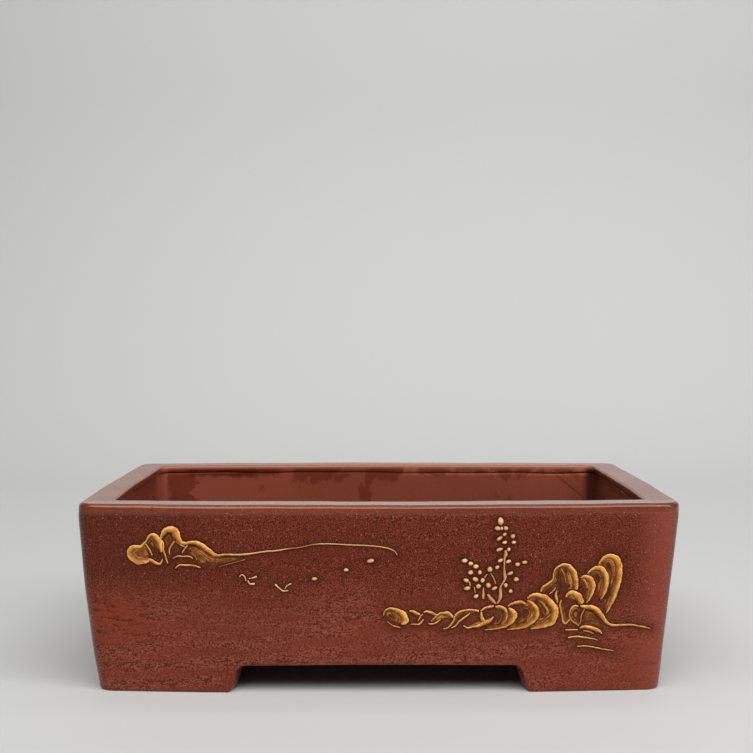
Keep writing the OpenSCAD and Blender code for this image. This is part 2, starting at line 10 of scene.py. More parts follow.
import bmesh
import bpy
import numpy as np
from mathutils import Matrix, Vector

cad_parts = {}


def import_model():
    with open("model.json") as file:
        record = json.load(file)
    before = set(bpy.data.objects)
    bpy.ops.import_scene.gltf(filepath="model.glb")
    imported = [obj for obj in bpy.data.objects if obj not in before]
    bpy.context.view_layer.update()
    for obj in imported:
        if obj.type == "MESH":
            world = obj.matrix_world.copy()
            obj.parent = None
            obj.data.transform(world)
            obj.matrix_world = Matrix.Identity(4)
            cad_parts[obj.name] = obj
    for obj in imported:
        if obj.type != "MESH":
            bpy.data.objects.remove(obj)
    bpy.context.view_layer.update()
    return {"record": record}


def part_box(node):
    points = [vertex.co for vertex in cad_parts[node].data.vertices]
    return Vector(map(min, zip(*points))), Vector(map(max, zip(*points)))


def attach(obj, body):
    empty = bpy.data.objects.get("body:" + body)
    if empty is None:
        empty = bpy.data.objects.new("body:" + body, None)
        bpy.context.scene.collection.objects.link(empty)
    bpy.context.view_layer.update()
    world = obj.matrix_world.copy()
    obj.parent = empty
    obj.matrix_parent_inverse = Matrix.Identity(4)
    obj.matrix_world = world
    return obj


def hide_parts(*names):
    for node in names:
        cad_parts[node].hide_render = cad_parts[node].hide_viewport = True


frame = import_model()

MM = 0.001
SIDES = ("front", "right", "back", "left")      # side k of the functions below

# ---- Sizes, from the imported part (mm) ----


def box_mm(node):
    """Lowest and highest corner of a CAD node, in millimetres."""
    lo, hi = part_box(node)
    return [v / MM for v in lo], [v / MM for v in hi]


FLOOR_LO, FLOOR_HI = box_mm("floor_slab")
RIM_LO, RIM_HI = box_mm("rim_front")
POT_L = box_mm("rim_right")[1][0] - box_mm("rim_left")[0][0]
POT_W = box_mm("rim_back")[1][1] - RIM_LO[1]
POT_H = RIM_HI[2]                   # top of the rim
RIM_Z = RIM_LO[2]                   # joint between wall and rim
FOOT_H = FLOOR_LO[2]                # underside of the floor, top of the feet
FLOOR_Z = FLOOR_HI[2]               # top of the floor slab

BOW = (5.0, 1.0)                    # bow of the long and the short sides
HALF = (POT_L / 2 - BOW[1], POT_W / 2 - BOW[0])
CORNER_R, INNER_R = 10.0, 6.0
LEAN = 8.8                          # lean of each side from rim to ground
BELLY = (0.3, 0.0, 0.3, 0.6)        # how far each side's lean is curved, front, right, back, left
# insets of the rim's inner edge, the wall's inner face at its top and foot, and the slab's edge
RIM_W, WALL_TOP, WALL_IN, SLAB_IN = 16.0, 15.0, 19.0, 15.5
SHOULDER, SHOULDER_Z = 0.6, POT_H - 9     # the outer faces draw in softly over the top
RIM_OUT_R, RIM_IN_R = 2.1, 1.5      # rounding of the rim's outer and inner top edges
FOOT_END = (74.0, 46.0)             # half the opening between the feet, long and short sides
FOOT_SLOPE, FOOT_BEVEL = 0.3, 2.0   # lean of a leg's end, and how far its inner edge is set back
FILLET_R, TOE_R = 5.0, 2.0          # rounding of a leg's end at the top and at the ground
EDGE_R, INNER_EDGE_R = 1.2, 0.8     # rounding of the lower edges outside and inside
APRON_ARCH = 0.6                    # rise of the lower edge between the feet
FLOOR_FILLET = 5.0
BAND_TOP = FOOT_H + 8.0             # the wall's rows follow the foot's outline below this height


# ---- The pot's outline, as in the CAD part ----
def lean(k, z):
    """Inset of side k at height z, from its lean and its belly."""
    t = 1 - np.asarray(z, float) / POT_H
    return LEAN * ((1 - BELLY[k]) * t + BELLY[k] * t * t)


def outer(z, e=0.0):
    """Insets of the four outer faces at height z, pushed in by e."""
    z = np.asarray(z, float)
    soft = SHOULDER * np.clip((z - SHOULDER_Z) / (POT_H - SHOULDER_Z), 0, 1) ** 2
    return np.stack([lean(k, z) + e + soft for k in range(4)], -1)


def even(d):
    """The same inset on all four sides."""
    return np.repeat(np.asarray(d, float)[..., None], 4, -1)


def outer_r(z):
    """Radius of the outer corners at height z."""
    return CORNER_R - 1.5 * (1 - np.asarray(z, float) / POT_H)


def steps(a, b, n):
    """n equal steps from a, the last one at b."""
    return [a + (b - a) * i / n for i in range(1, n + 1)]


def world(k, a, o):
    """x and y of a point a along side k and o out from the middle."""
    return ((a, -o), (o, a), (-a, o), (-o, -a))[k]


def run(k, d, r):
    """Middle and half length of the straight part of side k."""
    end = HALF[k % 2] - d[..., (k + 1) % 4] - r
    start = d[..., (k + 3) % 4] + r - HALF[k % 2]
    return (end + start) / 2, (end - start) / 2


def side_pt(k, s, d, r, z, h=0.0):
    """Point of side k's bowed face, s from -1 to 1 along its straight part, h above it."""
    mid, half = run(k, d, r)
    bow = BOW[k % 2]
    turn = np.arctan(2 * bow * s / half)
    a = mid + half * s + (r + h) * np.sin(turn)
    o = HALF[(k + 1) % 2] - d[..., k] - r + bow * (1 - s * s) + (r + h) * np.cos(turn)
    x, y = world(k, a, o)
    return np.stack(np.broadcast_arrays(x, y, z), -1)


def corner_pt(k, f, d, r, z):
    """Point of the rounded corner after side k, f from 0 to 1 round it."""
    mid, half = run(k, d, r)
    t0 = np.arctan(2 * BOW[k % 2] / half)
    t1 = np.pi / 2 - np.arctan(2 * BOW[(k + 1) % 2] / run((k + 1) % 4, d, r)[1])
    turn = t0 + f * (t1 - t0)
    a = mid + half + r * np.sin(turn)
    o = HALF[(k + 1) % 2] - d[..., k] - r + r * np.cos(turn)
    x, y = world(k, a, o)
    return np.stack(np.broadcast_arrays(x, y, z), -1)


def face_pt(x, z, h=0.0):
    """Point h above the front wall's face."""
    x, z = np.asarray(x, float), np.asarray(z, float)
    d, r = outer(z), outer_r(z)
    mid, half = run(0, d, r)
    return side_pt(0, (x - mid) / (half + 2 * BOW[0] * r / half), d, r, z, h)


# ---- Hand-made unevenness: one smooth field for all pieces ----
waves_rng = np.random.RandomState(11)
WAVES = [(waves_rng.normal(size=3), 2 * np.pi * waves_rng.uniform(size=3), length)
         for length in (95, 74, 60, 47, 38, 31, 26, 22, 19) for _ in range(2)]


def uneven(p, amount=0.11):
    """Smooth displacement field, about `amount` mm in each direction, weak near the ground."""
    p = np.asarray(p, float)
    out = np.zeros_like(p)
    for direction, phase, length in WAVES:
        q = p @ (direction / np.linalg.norm(direction)) * (2 * np.pi / length)
        for axis in range(3):
            out[..., axis] += np.sin(q + phase[axis]) * (length / 60) ** 0.6
    out *= amount / math.sqrt(len(WAVES) / 2)
    out[..., 2] *= np.clip((p[..., 2] - FLOOR_Z) / 30, 0, 1) * 0.8
    out[..., :2] *= np.clip(p[..., 2] / 8, 0, 1)[..., None] * 0.8 + 0.2
    return out


# small old chip on the rim's front edge
NICK_X, NICK_BELOW_RIM, NICK_SIZE, NICK_DEPTH = -112.0, 1.2, (0.8, 1.3), 0.4


def hand_made(p):
    """Moves the clay's points off the exact outline by what a hand-built pot shows."""
    p = np.asarray(p, float)
    q = p + uneven(p)
    nick = np.exp(-((p[..., 0] - NICK_X) / NICK_SIZE[0]) ** 2
                  - ((p[..., 2] - POT_H + NICK_BELOW_RIM) / NICK_SIZE[1]) ** 2)
    at_front = np.clip((-p[..., 1] - 85) / 8, 0, 1)
    q[..., 1] += np.where(p[..., 1] < 0, NICK_DEPTH * nick * at_front, 0)
    return q


# ---- The ring of walls, rims and feet: one closed skin of columns and rows, cut into its pieces later ----
def foot_outline(k, n_foot, n_apron):
    """Lower edge of side k from its right-hand corner to the middle of its apron.

    Gives for each column: its kind, how far along that kind's stretch it is, outline point (a, z),
    the direction into the clay, and where it stands at the top of the band. Also where the toe ends.
    """
    n_toe, n_slope, n_arch = 5, 7, 9
    e = FOOT_END[k % 2]
    nx, nz = 1 / math.hypot(1, FOOT_SLOPE), FOOT_SLOPE / math.hypot(1, FOOT_SLOPE)
    toe_a = e + TOE_R * (1 - nz) / nx
    fil_a, fil_z = e - (FILLET_R + (FOOT_H - FILLET_R) * nz) / nx, FOOT_H - FILLET_R
    tilt = math.atan2(nz, nx)
    cols = [("foot", t, (0.0, 0.0), (0.0, 1.0)) for t in np.linspace(0, 1, n_foot + 1)[1:]]
    for i in range(1, n_toe + 1):
        g = -math.pi / 2 - (math.pi / 2 - tilt) * i / n_toe
        c, s = math.cos(g), math.sin(g)
        cols.append(("end", i, (toe_a + TOE_R * c, TOE_R + TOE_R * s), (-c, -s)))
    x0, z0 = cols[-1][2]
    x1, z1 = fil_a + FILLET_R * nx, fil_z + FILLET_R * nz
    for i in range(1, n_slope):
        t = i / n_slope
        cols.append(("end", i, (x0 + (x1 - x0) * t, z0 + (z1 - z0) * t), (nx, nz)))
    for i in range(n_arch):
        g = tilt + (math.pi / 2 - tilt) * i / n_arch
        cols.append(("end", i, (fil_a + FILLET_R * math.cos(g), fil_z + FILLET_R * math.sin(g)),
                     (math.cos(g), math.sin(g))))
    for t in np.linspace(0, 1, n_apron + 1):
        a = fil_a * (1 - t)
        arch = APRON_ARCH * (1 - (a / fil_a) ** 2) ** 2
        cols.append(("apron", t, (a, FOOT_H + arch), (0.0, 1.0)))
    # at the top of the band the leg's end is spread over a wider stretch
    hi, lo = e + 7.0, fil_a - 6.0
    window = [i for i, c in enumerate(cols) if c[0] == "end"]
    first, last = window[0] - 1, window[-1] + 1
    out = []
    for i, (kind, t, pt, n) in enumerate(cols):
        if kind == "end":
            top = hi + (lo - hi) * (i - first) / (last - first)
        elif kind == "apron":
            top = lo * (1 - t)
        else:
            top = hi
        out.append((kind, t, pt, n, top))
    return out, toe_a


# rows: outer face down to the band, band, outer edge, underside, inner edge, up to the floor's level
N_SHEET, N_BAND, N_ROUND, N_ACROSS, N_INNER_ROUND, N_INNER = 132, 9, 5, 6, 3, 5
N_FILLET, N_INSIDE, N_RIM_TOP = 7, 26, 12               # then fillet, inner face, top of the rim
# columns: round a corner, and along a foot and half an apron of each side
N_CORNER, FOOT_COLS, APRON_COLS = 20, (96, 12, 26, 12), (106, 14, 28, 14)

sheet_z = np.linspace(RIM_Z, BAND_TOP, N_SHEET + 1)
quarter = np.linspace(0, np.pi / 2, N_ROUND + 1)[1:]
inner_quarter = np.linspace(0, np.pi / 2, N_INNER_ROUND + 1)[1:]


def crease(w):
    """How deep and how low the smeared crease under the rim runs at plan angle w."""
    return (0.25 + 0.22 * np.sin(5 * w + 1) + 0.15 * np.sin(13 * w + 2) + 0.1 * np.sin(31 * w),
            0.8 + 0.5 * np.sin(4 * w + 3) + 0.3 * np.sin(11 * w) + 0.25 * np.sin(23 * w + 1))


def inside_rows(place, w):
    """Rows from the slab's rebate up the inner face, round the rim and down to the joint outside.

    place(insets, corner radius, height) gives a point of the column.
    """
    deep, low = crease(w)
    rows = [place(even(SLAB_IN), INNER_R, FLOOR_Z), place(even(WALL_IN + FLOOR_FILLET), 2.0, FLOOR_Z)]
    for i in range(1, N_FILLET + 1):
        g = math.pi / 2 * i / N_FILLET
        d = WALL_IN + FLOOR_FILLET * (1 - math.sin(g))
        z = FLOOR_Z + FLOOR_FILLET * (1 - math.cos(g))
        d -= (WALL_IN - WALL_TOP) * (z - FLOOR_Z) / (RIM_Z - FLOOR_Z) * math.sin(g)
        rows.append(place(even(d), INNER_R - 4.0 * (1 - math.sin(g)), z))
    for z in steps(FLOOR_Z + FLOOR_FILLET, RIM_Z - 1.6 - 1.2 * low, N_INSIDE):
        d = WALL_IN - (WALL_IN - WALL_TOP) * (z - FLOOR_Z) / (RIM_Z - FLOOR_Z)
        rows.append(place(even(d), INNER_R, z))
    crease_rows = [(WALL_TOP + 0.05, RIM_Z - 1.1 - low), (WALL_TOP - 0.05, RIM_Z - 0.5 - 0.8 * low),
                   (WALL_TOP - 0.15 - 0.6 * deep, RIM_Z - 0.7 * low),     # the joint
                   (WALL_TOP + 0.35, RIM_Z + 0.1 - 0.6 * low), (WALL_TOP + 0.7, RIM_Z + 0.35 - 0.5 * low),
                   (RIM_W - 0.08, RIM_Z + 0.9 - 0.3 * low), (RIM_W, RIM_Z + 1.6 - 0.2 * low)]
    joint = len(rows) + 2
    rows += [place(even(d), INNER_R, z) for d, z in crease_rows]
    for g in np.linspace(0, np.pi / 2, 7)[1:]:
        rows.append(place(even(RIM_W - RIM_IN_R * (1 - math.cos(g))), INNER_R,
                          POT_H - RIM_IN_R * (1 - math.sin(g))))
    rows += [place(even(d), r, POT_H) for d, r in zip(steps(RIM_W - RIM_IN_R, RIM_OUT_R, N_RIM_TOP),
                                                      steps(INNER_R, CORNER_R - RIM_OUT_R, N_RIM_TOP))]
    for g in np.linspace(np.pi / 2, 0, 8)[1:]:
        z = POT_H - RIM_OUT_R * (1 - math.sin(g))
        e = RIM_OUT_R * (1 - math.cos(g))
        rows.append(place(outer(z, e), CORNER_R - e, z))
    rows.append(place(outer(RIM_Z + 1.0), outer_r(RIM_Z + 1.0), RIM_Z + 1.0))
    return rows, joint


def column(place, foot_place, lower, w):
    """All rows of one column at plan angle w, starting at the outer face's joint with the rim.

    lower() gives the rows from the band to the slab; without it they follow a foot, through
    foot_place(insets, corner radius, height, inside).
    """
    rows = list(place(outer(sheet_z), outer_r(sheet_z), sheet_z))
    if lower:
        rows += lower()
    else:
        rows += [foot_place(outer(z), outer_r(z), z) for z in steps(BAND_TOP, EDGE_R, N_BAND)]
        for g in quarter:
            e, z = EDGE_R * (1 - math.cos(g)), EDGE_R * (1 - math.sin(g))
            rows.append(foot_place(outer(z, e), outer_r(z) - 0.5 * e, z))
        rows += steps(rows[-1], foot_place(even(WALL_IN - INNER_EDGE_R), INNER_R, 0.0, True), N_ACROSS)
        for g in inner_quarter:
            rows.append(foot_place(even(WALL_IN - INNER_EDGE_R * (1 - math.sin(g))), INNER_R,
                                   INNER_EDGE_R * (1 - math.cos(g)), True))
        rows += steps(rows[-1], foot_place(even(WALL_IN), INNER_R, FOOT_H, True), N_INNER)
        rows.append(place(even(SLAB_IN), INNER_R, FOOT_H))
    first = len(rows)
    more, joint = inside_rows(place, w)
    return rows + more, first + joint


def side_columns(k, n_foot, n_apron):
    """(Column, its joint row) and kind for side k between its corners, in order of rising a."""
    half_cols, toe_a = foot_outline(k, n_foot, n_apron)
    d_top, r_top = outer(BAND_TOP), outer_r(BAND_TOP)
    mid_t, half_t = run(k, d_top, r_top)
    made = []
    for sign in (1, -1):
        part = []
        for kind, t, (a, z), (na, nz), top in half_cols:
            if sign == -1 and kind == "apron" and t == 1.0:
                continue
            end_top = sign * half_t + mid_t
            a_top = end_top + (sign * top - end_top) * t if kind == "foot" else sign * top
            s_top = float((a_top - mid_t) / half_t)

            def place(d, r, z):
                return side_pt(k, s_top, d, r, np.asarray(z, float))

            def at(d, r, z, a):
                mid, half = run(k, d, r)
                return side_pt(k, (a - mid) / half, d, r, np.float64(z))

            foot_place = lower = None
            if kind == "foot":
                def foot_place(d, r, z, inside=False):
                    mid, half = run(k, d, r)
                    end = mid + sign * half
                    low = end + (sign * (toe_a - (FOOT_BEVEL if inside else 0)) - end) * t
                    if inside:
                        return at(d, r, z, low)
                    up = end + (sign * top - end) * t
                    share = min(1.0, max(0.0, (z - EDGE_R) / (BAND_TOP - EDGE_R)))
                    return at(d, r, z, low + (up - low) * share)
            else:
                def lower():
                    b_a, b_z = a + EDGE_R * na, z + EDGE_R * nz
                    out = [at(outer(zz), outer_r(zz), zz, sign * aa) for zz, aa
                           in zip(steps(BAND_TOP, b_z, N_BAND), steps(top, b_a, N_BAND))]
                    for g in quarter:
                        e, w_in = EDGE_R * (1 - math.cos(g)), EDGE_R * (1 - math.sin(g))
                        zz = z + w_in * nz
                        out.append(at(outer(zz, e), outer_r(zz), zz, sign * (a + w_in * na)))
                    slab_edge = place(even(SLAB_IN), INNER_R, FOOT_H)
                    if kind == "apron":
                        return out + steps(out[-1], slab_edge, N_ACROSS + N_INNER_ROUND + N_INNER + 1)
                    ai = a - FOOT_BEVEL
                    r = INNER_EDGE_R
                    out += steps(out[-1], at(even(WALL_IN - r), INNER_R, z, sign * ai), N_ACROSS)
                    for g in inner_quarter:
                        d, w_in = WALL_IN - r * (1 - math.sin(g)), r * (1 - math.cos(g))
                        w_in = min(w_in, FOOT_H - z) if nz > 0.99 else w_in
                        out.append(at(even(d), INNER_R, min(z + w_in * nz, FOOT_H), sign * (ai + w_in * na)))
                    leg_top = at(even(WALL_IN), INNER_R, FOOT_H, sign * (top - FOOT_BEVEL))
                    return out + steps(out[-1], leg_top, N_INNER) + [slab_edge]
            part.append((column(place, foot_place, lower, (k + 0.5 * s_top) * math.pi / 2), kind))
        made.append(part)
    return made[1] + made[0][::-1]


columns, owner, kinds = [], [], []  # owner: (side, None) or (corner, step)
for k in range(4):
    for (rows, JOINT_ROW), kind in side_columns(k, FOOT_COLS[k], APRON_COLS[k]):
        columns.append(rows)
        owner.append((k, None))
        kinds.append(kind)
    for i in range(N_CORNER + 1):
        def spot(d, r, z, inside=False, k=k, f=i / N_CORNER):
            return corner_pt(k, f, d, r, np.asarray(z, float))
        columns.append(column(spot, spot, None, (k + 0.5) * math.pi / 2)[0])
        owner.append((k, i))
        kinds.append("corner")


# ---- The whole skin as a grid: positions, continuous normals, then pieces ----
SKIN = hand_made(np.array(columns))                     # [column, row, xyz]
N_COLS, N_ROWS = SKIN.shape[:2]
SLAB_ROW = N_SHEET + N_BAND + N_ROUND + N_ACROSS + N_INNER_ROUND + N_INNER + 1
is_apron = np.array([kind == "apron" for kind in kinds])


def grid_normals():
    """Vertex normals of the closed skin, leaving out the faces that only touch the slab."""
    p00, p01 = SKIN, np.roll(SKIN, -1, 1)
    p10, p11 = np.roll(SKIN, -1, 0), np.roll(np.roll(SKIN, -1, 0), -1, 1)
    n = np.cross(p11 - p00, p10 - p01)
    n[:, SLAB_ROW] = n[:, SLAB_ROW + 1] = 0
    hidden = ~(is_apron & np.roll(is_apron, -1))
    n[hidden, SLAB_ROW - 1] = 0
    total = n + np.roll(n, 1, 0) + np.roll(n, 1, 1) + np.roll(np.roll(n, 1, 0), 1, 1)
    total[:, SLAB_ROW + 2] = (0, 0, 1)
    length = np.linalg.norm(total, axis=-1, keepdims=True)
    return total / np.where(length < 1e-12, 1, length)


NORMALS = grid_normals()


def new_mesh(name, verts, faces):
    me = bpy.data.meshes.new(name)
    me.from_pydata((np.asarray(verts) * MM).tolist(), [], faces)
    return me


def add_object(name, data):
    ob = bpy.data.objects.new(name, data)
    bpy.context.scene.collection.objects.link(ob)
    return ob


def add_piece(name, me, node, slot, material):
    """Puts a finished mesh in the scene as the piece that stands for a CAD node."""
    me.materials.append(material)
    ob = add_object(name, me)
    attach(ob, "root")
    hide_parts(node)


def inner_of_rows():
    """1 on the smoother inside of the pot, less on the rim's top, 0 outside."""
    out = np.zeros(N_ROWS)
    rounding = JOINT_ROW + 4                            # last row under the rim's inner rounding
    flat = rounding + 6
    end = flat + N_RIM_TOP
    out[SLAB_ROW:rounding + 1] = 1
    out[rounding:flat + 1] = np.linspace(1, 0.7, 7)
    out[flat:end + 1] = np.linspace(0.7, 0.5, N_RIM_TOP + 1)
    out[end:-2] = np.linspace(0.5, 0, len(out[end:-2]))
    return out


INNER = inner_of_rows()


def read(items, key, width=1, kind=np.float32):
    """One property of every item as an array."""
    out = np.empty(len(items) * width, kind)
    items.foreach_get(key, out)
    return out.reshape(-1, width) if width > 1 else out


def keep(me, name, values, kind="FLOAT", domain="POINT"):
    """Stores values on a mesh as a named attribute."""
    field, number = {"FLOAT": ("value", np.float32), "FLOAT_VECTOR": ("vector", np.float32),
                     "INT": ("value", np.int32)}[kind]
    me.attributes.new(name, kind, domain).data.foreach_set(field, np.asarray(values, number).ravel())


def smooth(me):
    me.polygons.foreach_set("use_smooth", np.ones(len(me.polygons), bool))


def use_normals(me):
    """Gives skin faces the stored normals and every other face its own."""
    kept = read(me.attributes["keep_n"].data, "vector", 3)
    kept /= np.maximum(np.linalg.norm(kept, axis=1, keepdims=True), 1e-9)
    skin = read(me.attributes["skin"].data, "value", 1, np.int32)
    loops = read(me.loops, "vertex_index", 1, np.int32)
    face_of = np.repeat(np.arange(len(skin)), read(me.polygons, "loop_total", 1, np.int32))
    flat = read(me.polygons, "normal", 3)
    out = np.where(skin[face_of][:, None] == 1, kept[loops], flat[face_of])
    for name in ("keep_n", "skin"):
        me.attributes.remove(me.attributes[name])
    smooth(me)
    me.normals_split_custom_set(out.tolist())


def grid_faces(n_cols, n_rows):
    c, r = np.meshgrid(np.arange(n_cols - 1), np.arange(n_rows - 1), indexing="ij")
    a = (c * n_rows + r).ravel()
    return np.stack([a, a + 1, a + n_rows + 1, a + n_rows], 1).tolist()


def skin_mesh(name, cols, rows, closed):
    """Mesh of some columns and rows; closed adds the strip from last to first row and both ends."""
    nc, nr = len(cols), len(rows)
    verts = SKIN[np.ix_(cols, rows)].reshape(-1, 3)
    normals = NORMALS[np.ix_(cols, rows)].reshape(-1, 3)
    faces = grid_faces(nc, nr)
    skin = [1] * len(faces)
    if closed:
        for i in range(nc - 1):
            faces.append([i * nr + nr - 1, i * nr, (i + 1) * nr, (i + 1) * nr + nr - 1])
        faces.append(list(range(nr))[::-1])
        faces.append([(nc - 1) * nr + i for i in range(nr)])
        skin += [0] * (len(faces) - len(skin))
    me = new_mesh(name, verts, faces)
    keep(me, "keep_n", normals, "FLOAT_VECTOR")
    keep(me, "skin", skin, "INT", "FACE")
    keep(me, "inner", np.tile(INNER[rows], nc))
    return me


CUT_Z = FOOT_H - 0.05               # feet and walls part here


def outlines(bm):
    """The open outlines of a mesh, each as a loop of vertices."""
    follow = {v: [e.other_vert(v) for e in v.link_edges if e.is_boundary] for v in bm.verts}
    left = {v for v in follow if len(follow[v]) == 2}
    found = []
    while left:
        start = min(left, key=lambda v: (v.co.x, v.co.y, v.co.z))
        loop, last = [start], None
        while True:
            here = loop[-1]
            left.discard(here)
            ahead = [v for v in follow[here] if v is not last]
            last = here
            if not ahead or ahead[0] is start:
                break
            loop.append(ahead[0])
        found.append(loop)
    return found


def farthest(loop, v):
    """Number of the loop's vertex that is farthest from v."""
    return max(range(len(loop)), key=lambda i: (loop[i].co - v.co).length)


def shares(side, bent):
    """How far along its side each vertex is, 0 to 1; a bent side is halfway at its corner."""
    gone = [0.0]
    for p, q in zip(side, side[1:]):
        gone.append(gone[-1] + (q.co - p.co).length)
    chord = side[-1].co - side[0].co
    turn = max(range(len(side)), key=lambda i: (side[i].co - side[0].co).cross(chord).length)
    half = gone[turn] if bent else gone[-1] / 2
    return [0.5 * g / half if g <= half else 0.5 + 0.5 * (g - half) / (gone[-1] - half) for g in gone]


def zip_up(bm, skin, up):
    """Closes each open outline at the cut with a strip of triangles between its two long sides."""
    for loop in outlines(bm):
        far = farthest(loop, loop[0])
        loop = loop[far:] + loop[:far]
        near = farthest(loop, loop[0])
        one, two = loop[:near + 1], [loop[0]] + loop[:near - 1:-1]
        ones, twos = shares(one, up), shares(two, up)
        area = sum(p.co.x * q.co.y - q.co.x * p.co.y for p, q in zip(loop, loop[1:] + loop[:1]))
        i = j = 0
        while i < len(one) - 1 or j < len(two) - 1:
            if j == len(two) - 1 or (i < len(one) - 1 and ones[i + 1] <= twos[j + 1]):
                tri = [one[i], one[i + 1], two[j]]
                i += 1
            else:
                tri = [one[i], two[j + 1], two[j]]
                j += 1
            if len(set(tri)) == 3:
                face = bm.faces.new(tri if (area > 0) == up else tri[::-1])
                face[skin] = 0


def cut(me, keep_above):
    """Keeps the part of a mesh above or below CUT_Z, and closes it there."""
    bm = bmesh.new()
    bm.from_mesh(me)
    bmesh.ops.bisect_plane(bm, geom=bm.verts[:] + bm.edges[:] + bm.faces[:], dist=1e-8,
                           plane_co=(0, 0, CUT_Z * MM), plane_no=(0, 0, 1),
                           clear_inner=keep_above, clear_outer=not keep_above)
    bmesh.ops.remove_doubles(bm, verts=bm.verts[:], dist=1e-7)
    zip_up(bm, bm.faces.layers.int["skin"], not keep_above)
    bm.to_mesh(me)
    bm.free()


def between(first, last):
    """Column numbers from first to last, going round."""
    return [i % N_COLS for i in range(first, (last if last > first else last + N_COLS) + 1)]


mitre = [owner.index((k, N_CORNER // 2)) for k in range(4)]        # columns at the corners' middles
# columns at the aprons' middles
apron_mid = [min((i for i, o in enumerate(owner) if o == (k, None)),
                 key=lambda i: abs(SKIN[i, SLAB_ROW - 8, k % 2])) for k in range(4)]
clay_pieces = []
for k, side in enumerate(SIDES):
    cols = between(mitre[(k + 3) % 4], mitre[k])
    step = 1 if k == 0 else 4       # only the front wall carries the painted wash
    rows = list(range(0, N_SHEET, step)) + list(range(N_SHEET, JOINT_ROW + 1))
    wall = skin_mesh("wall_" + side, cols, rows, True)
    cut(wall, True)
    rim = skin_mesh("rim_strip_" + side, cols, list(range(JOINT_ROW, N_ROWS)) + [0], True)
    following = SIDES[(k + 1) % 4]
    foot_name = "foot_" + (side + "_" + following if k % 2 == 0 else following + "_" + side)
    foot = skin_mesh(foot_name, between(apron_mid[k], apron_mid[(k + 1) % 4]),
                     list(range(N_SHEET - 2, SLAB_ROW)), False)
    cut(foot, False)
    for me, node in ((wall, side + "_wall"), (rim, "rim_" + side), (foot, foot_name)):
        use_normals(me)
        clay_pieces.append((me, node))

# Floor slab: outline shared with the ring, holes with rounded edges
HOLE_STEPS, HOLE_ROUND = 64, 6
DRAIN_R, DRAIN_EDGE, TIE_EDGE = 11.0, 1.6, 0.8
mounts = frame["record"]["mounts"]
holes = [(m["pos_m"][0] / MM, m["pos_m"][1] / MM, DRAIN_R, DRAIN_EDGE) for m in mounts
         if m["name"].startswith("drain")]
tie = next(m["dims"] for m in mounts if m["name"] == "tie_wire_holes")
holes += [(sx * tie["spacing_x_mm"] / 2, sy * tie["spacing_y_mm"] / 2, tie["hole_r_mm"], TIE_EDGE)
          for sx in (-1, 1) for sy in (-1, 1)]


def slab_mesh():
    bm = bmesh.new()
    kept = bm.verts.layers.float_vector.new("keep_n")
    skin = bm.faces.layers.int.new("skin")
    edges = ([], [])                # outlines of the underside and of the top

    def ring(pts, normals=None):
        vs = [bm.verts.new(Vector(p * MM)) for p in pts]
        if normals is not None:
            for v, n in zip(vs, normals):
                v[kept] = Vector(n)
        return vs

    def join(a, b, flag):
        for i in range(len(a)):
            f = bm.faces.new((a[i], a[(i + 1) % len(a)], b[(i + 1) % len(a)], b[i]))
            f[skin] = flag

    def open_ends(low, high):
        for outline, vs in zip(edges, (low, high)):
            outline += [bm.edges.get((v, w)) for v, w in zip(vs, vs[1:] + vs[:1])]

    bottom, top = ring(SKIN[:, SLAB_ROW]), ring(SKIN[:, SLAB_ROW + 1])
    join(bottom, top, 0)
    open_ends(bottom, top)
    ang = np.linspace(0, 2 * np.pi, HOLE_STEPS, endpoint=False)
    for x, y, rad, edge in holes:
        wobble = 1 + 0.006 * np.sin(3 * ang + x) + 0.004 * np.sin(5 * ang + y)
        rings = []
        for level, up, turns in ((FOOT_H, 1, np.linspace(math.pi / 2, 0, HOLE_ROUND)),
                                 (FLOOR_Z, -1, np.linspace(0, math.pi / 2, HOLE_ROUND))):
            for g in turns:
                r = (rad + edge * (1 - math.cos(g))) * wobble
                z = level + up * edge * (1 - math.sin(g))
                nr, nz = -math.cos(g), -up * math.sin(g)
                rings.append(ring(np.stack([x + r * np.cos(ang), y + r * np.sin(ang), 0 * ang + z], 1),
                                  np.stack([nr * np.cos(ang), nr * np.sin(ang), 0 * ang + nz], 1)))
        for a, b in zip(rings, rings[1:]):
            join(a[::-1], b[::-1], 1)
        open_ends(rings[0], rings[-1])
    for outline, up in zip(edges, (-1, 1)):
        made = bmesh.ops.triangle_fill(bm, edges=outline, use_beauty=True, normal=(0, 0, up))
        for f in made["geom"]:
            if isinstance(f, bmesh.types.BMFace):
                f[skin] = 0
                if (f.normal.z > 0) == (up < 0):
                    f.normal_flip()
    bm.normal_update()
    inner = bm.verts.layers.float.new("inner")
    for vert in bm.verts:
        vert[inner] = 1.0 if vert.co.z > (FLOOR_Z - 0.01) * MM else 0.0
    me = bpy.data.meshes.new("floor_slab_piece")
    bm.to_mesh(me)
    bm.free()
    return me


slab = slab_mesh()
use_normals(slab)
clay_pieces.append((slab, "floor_slab"))


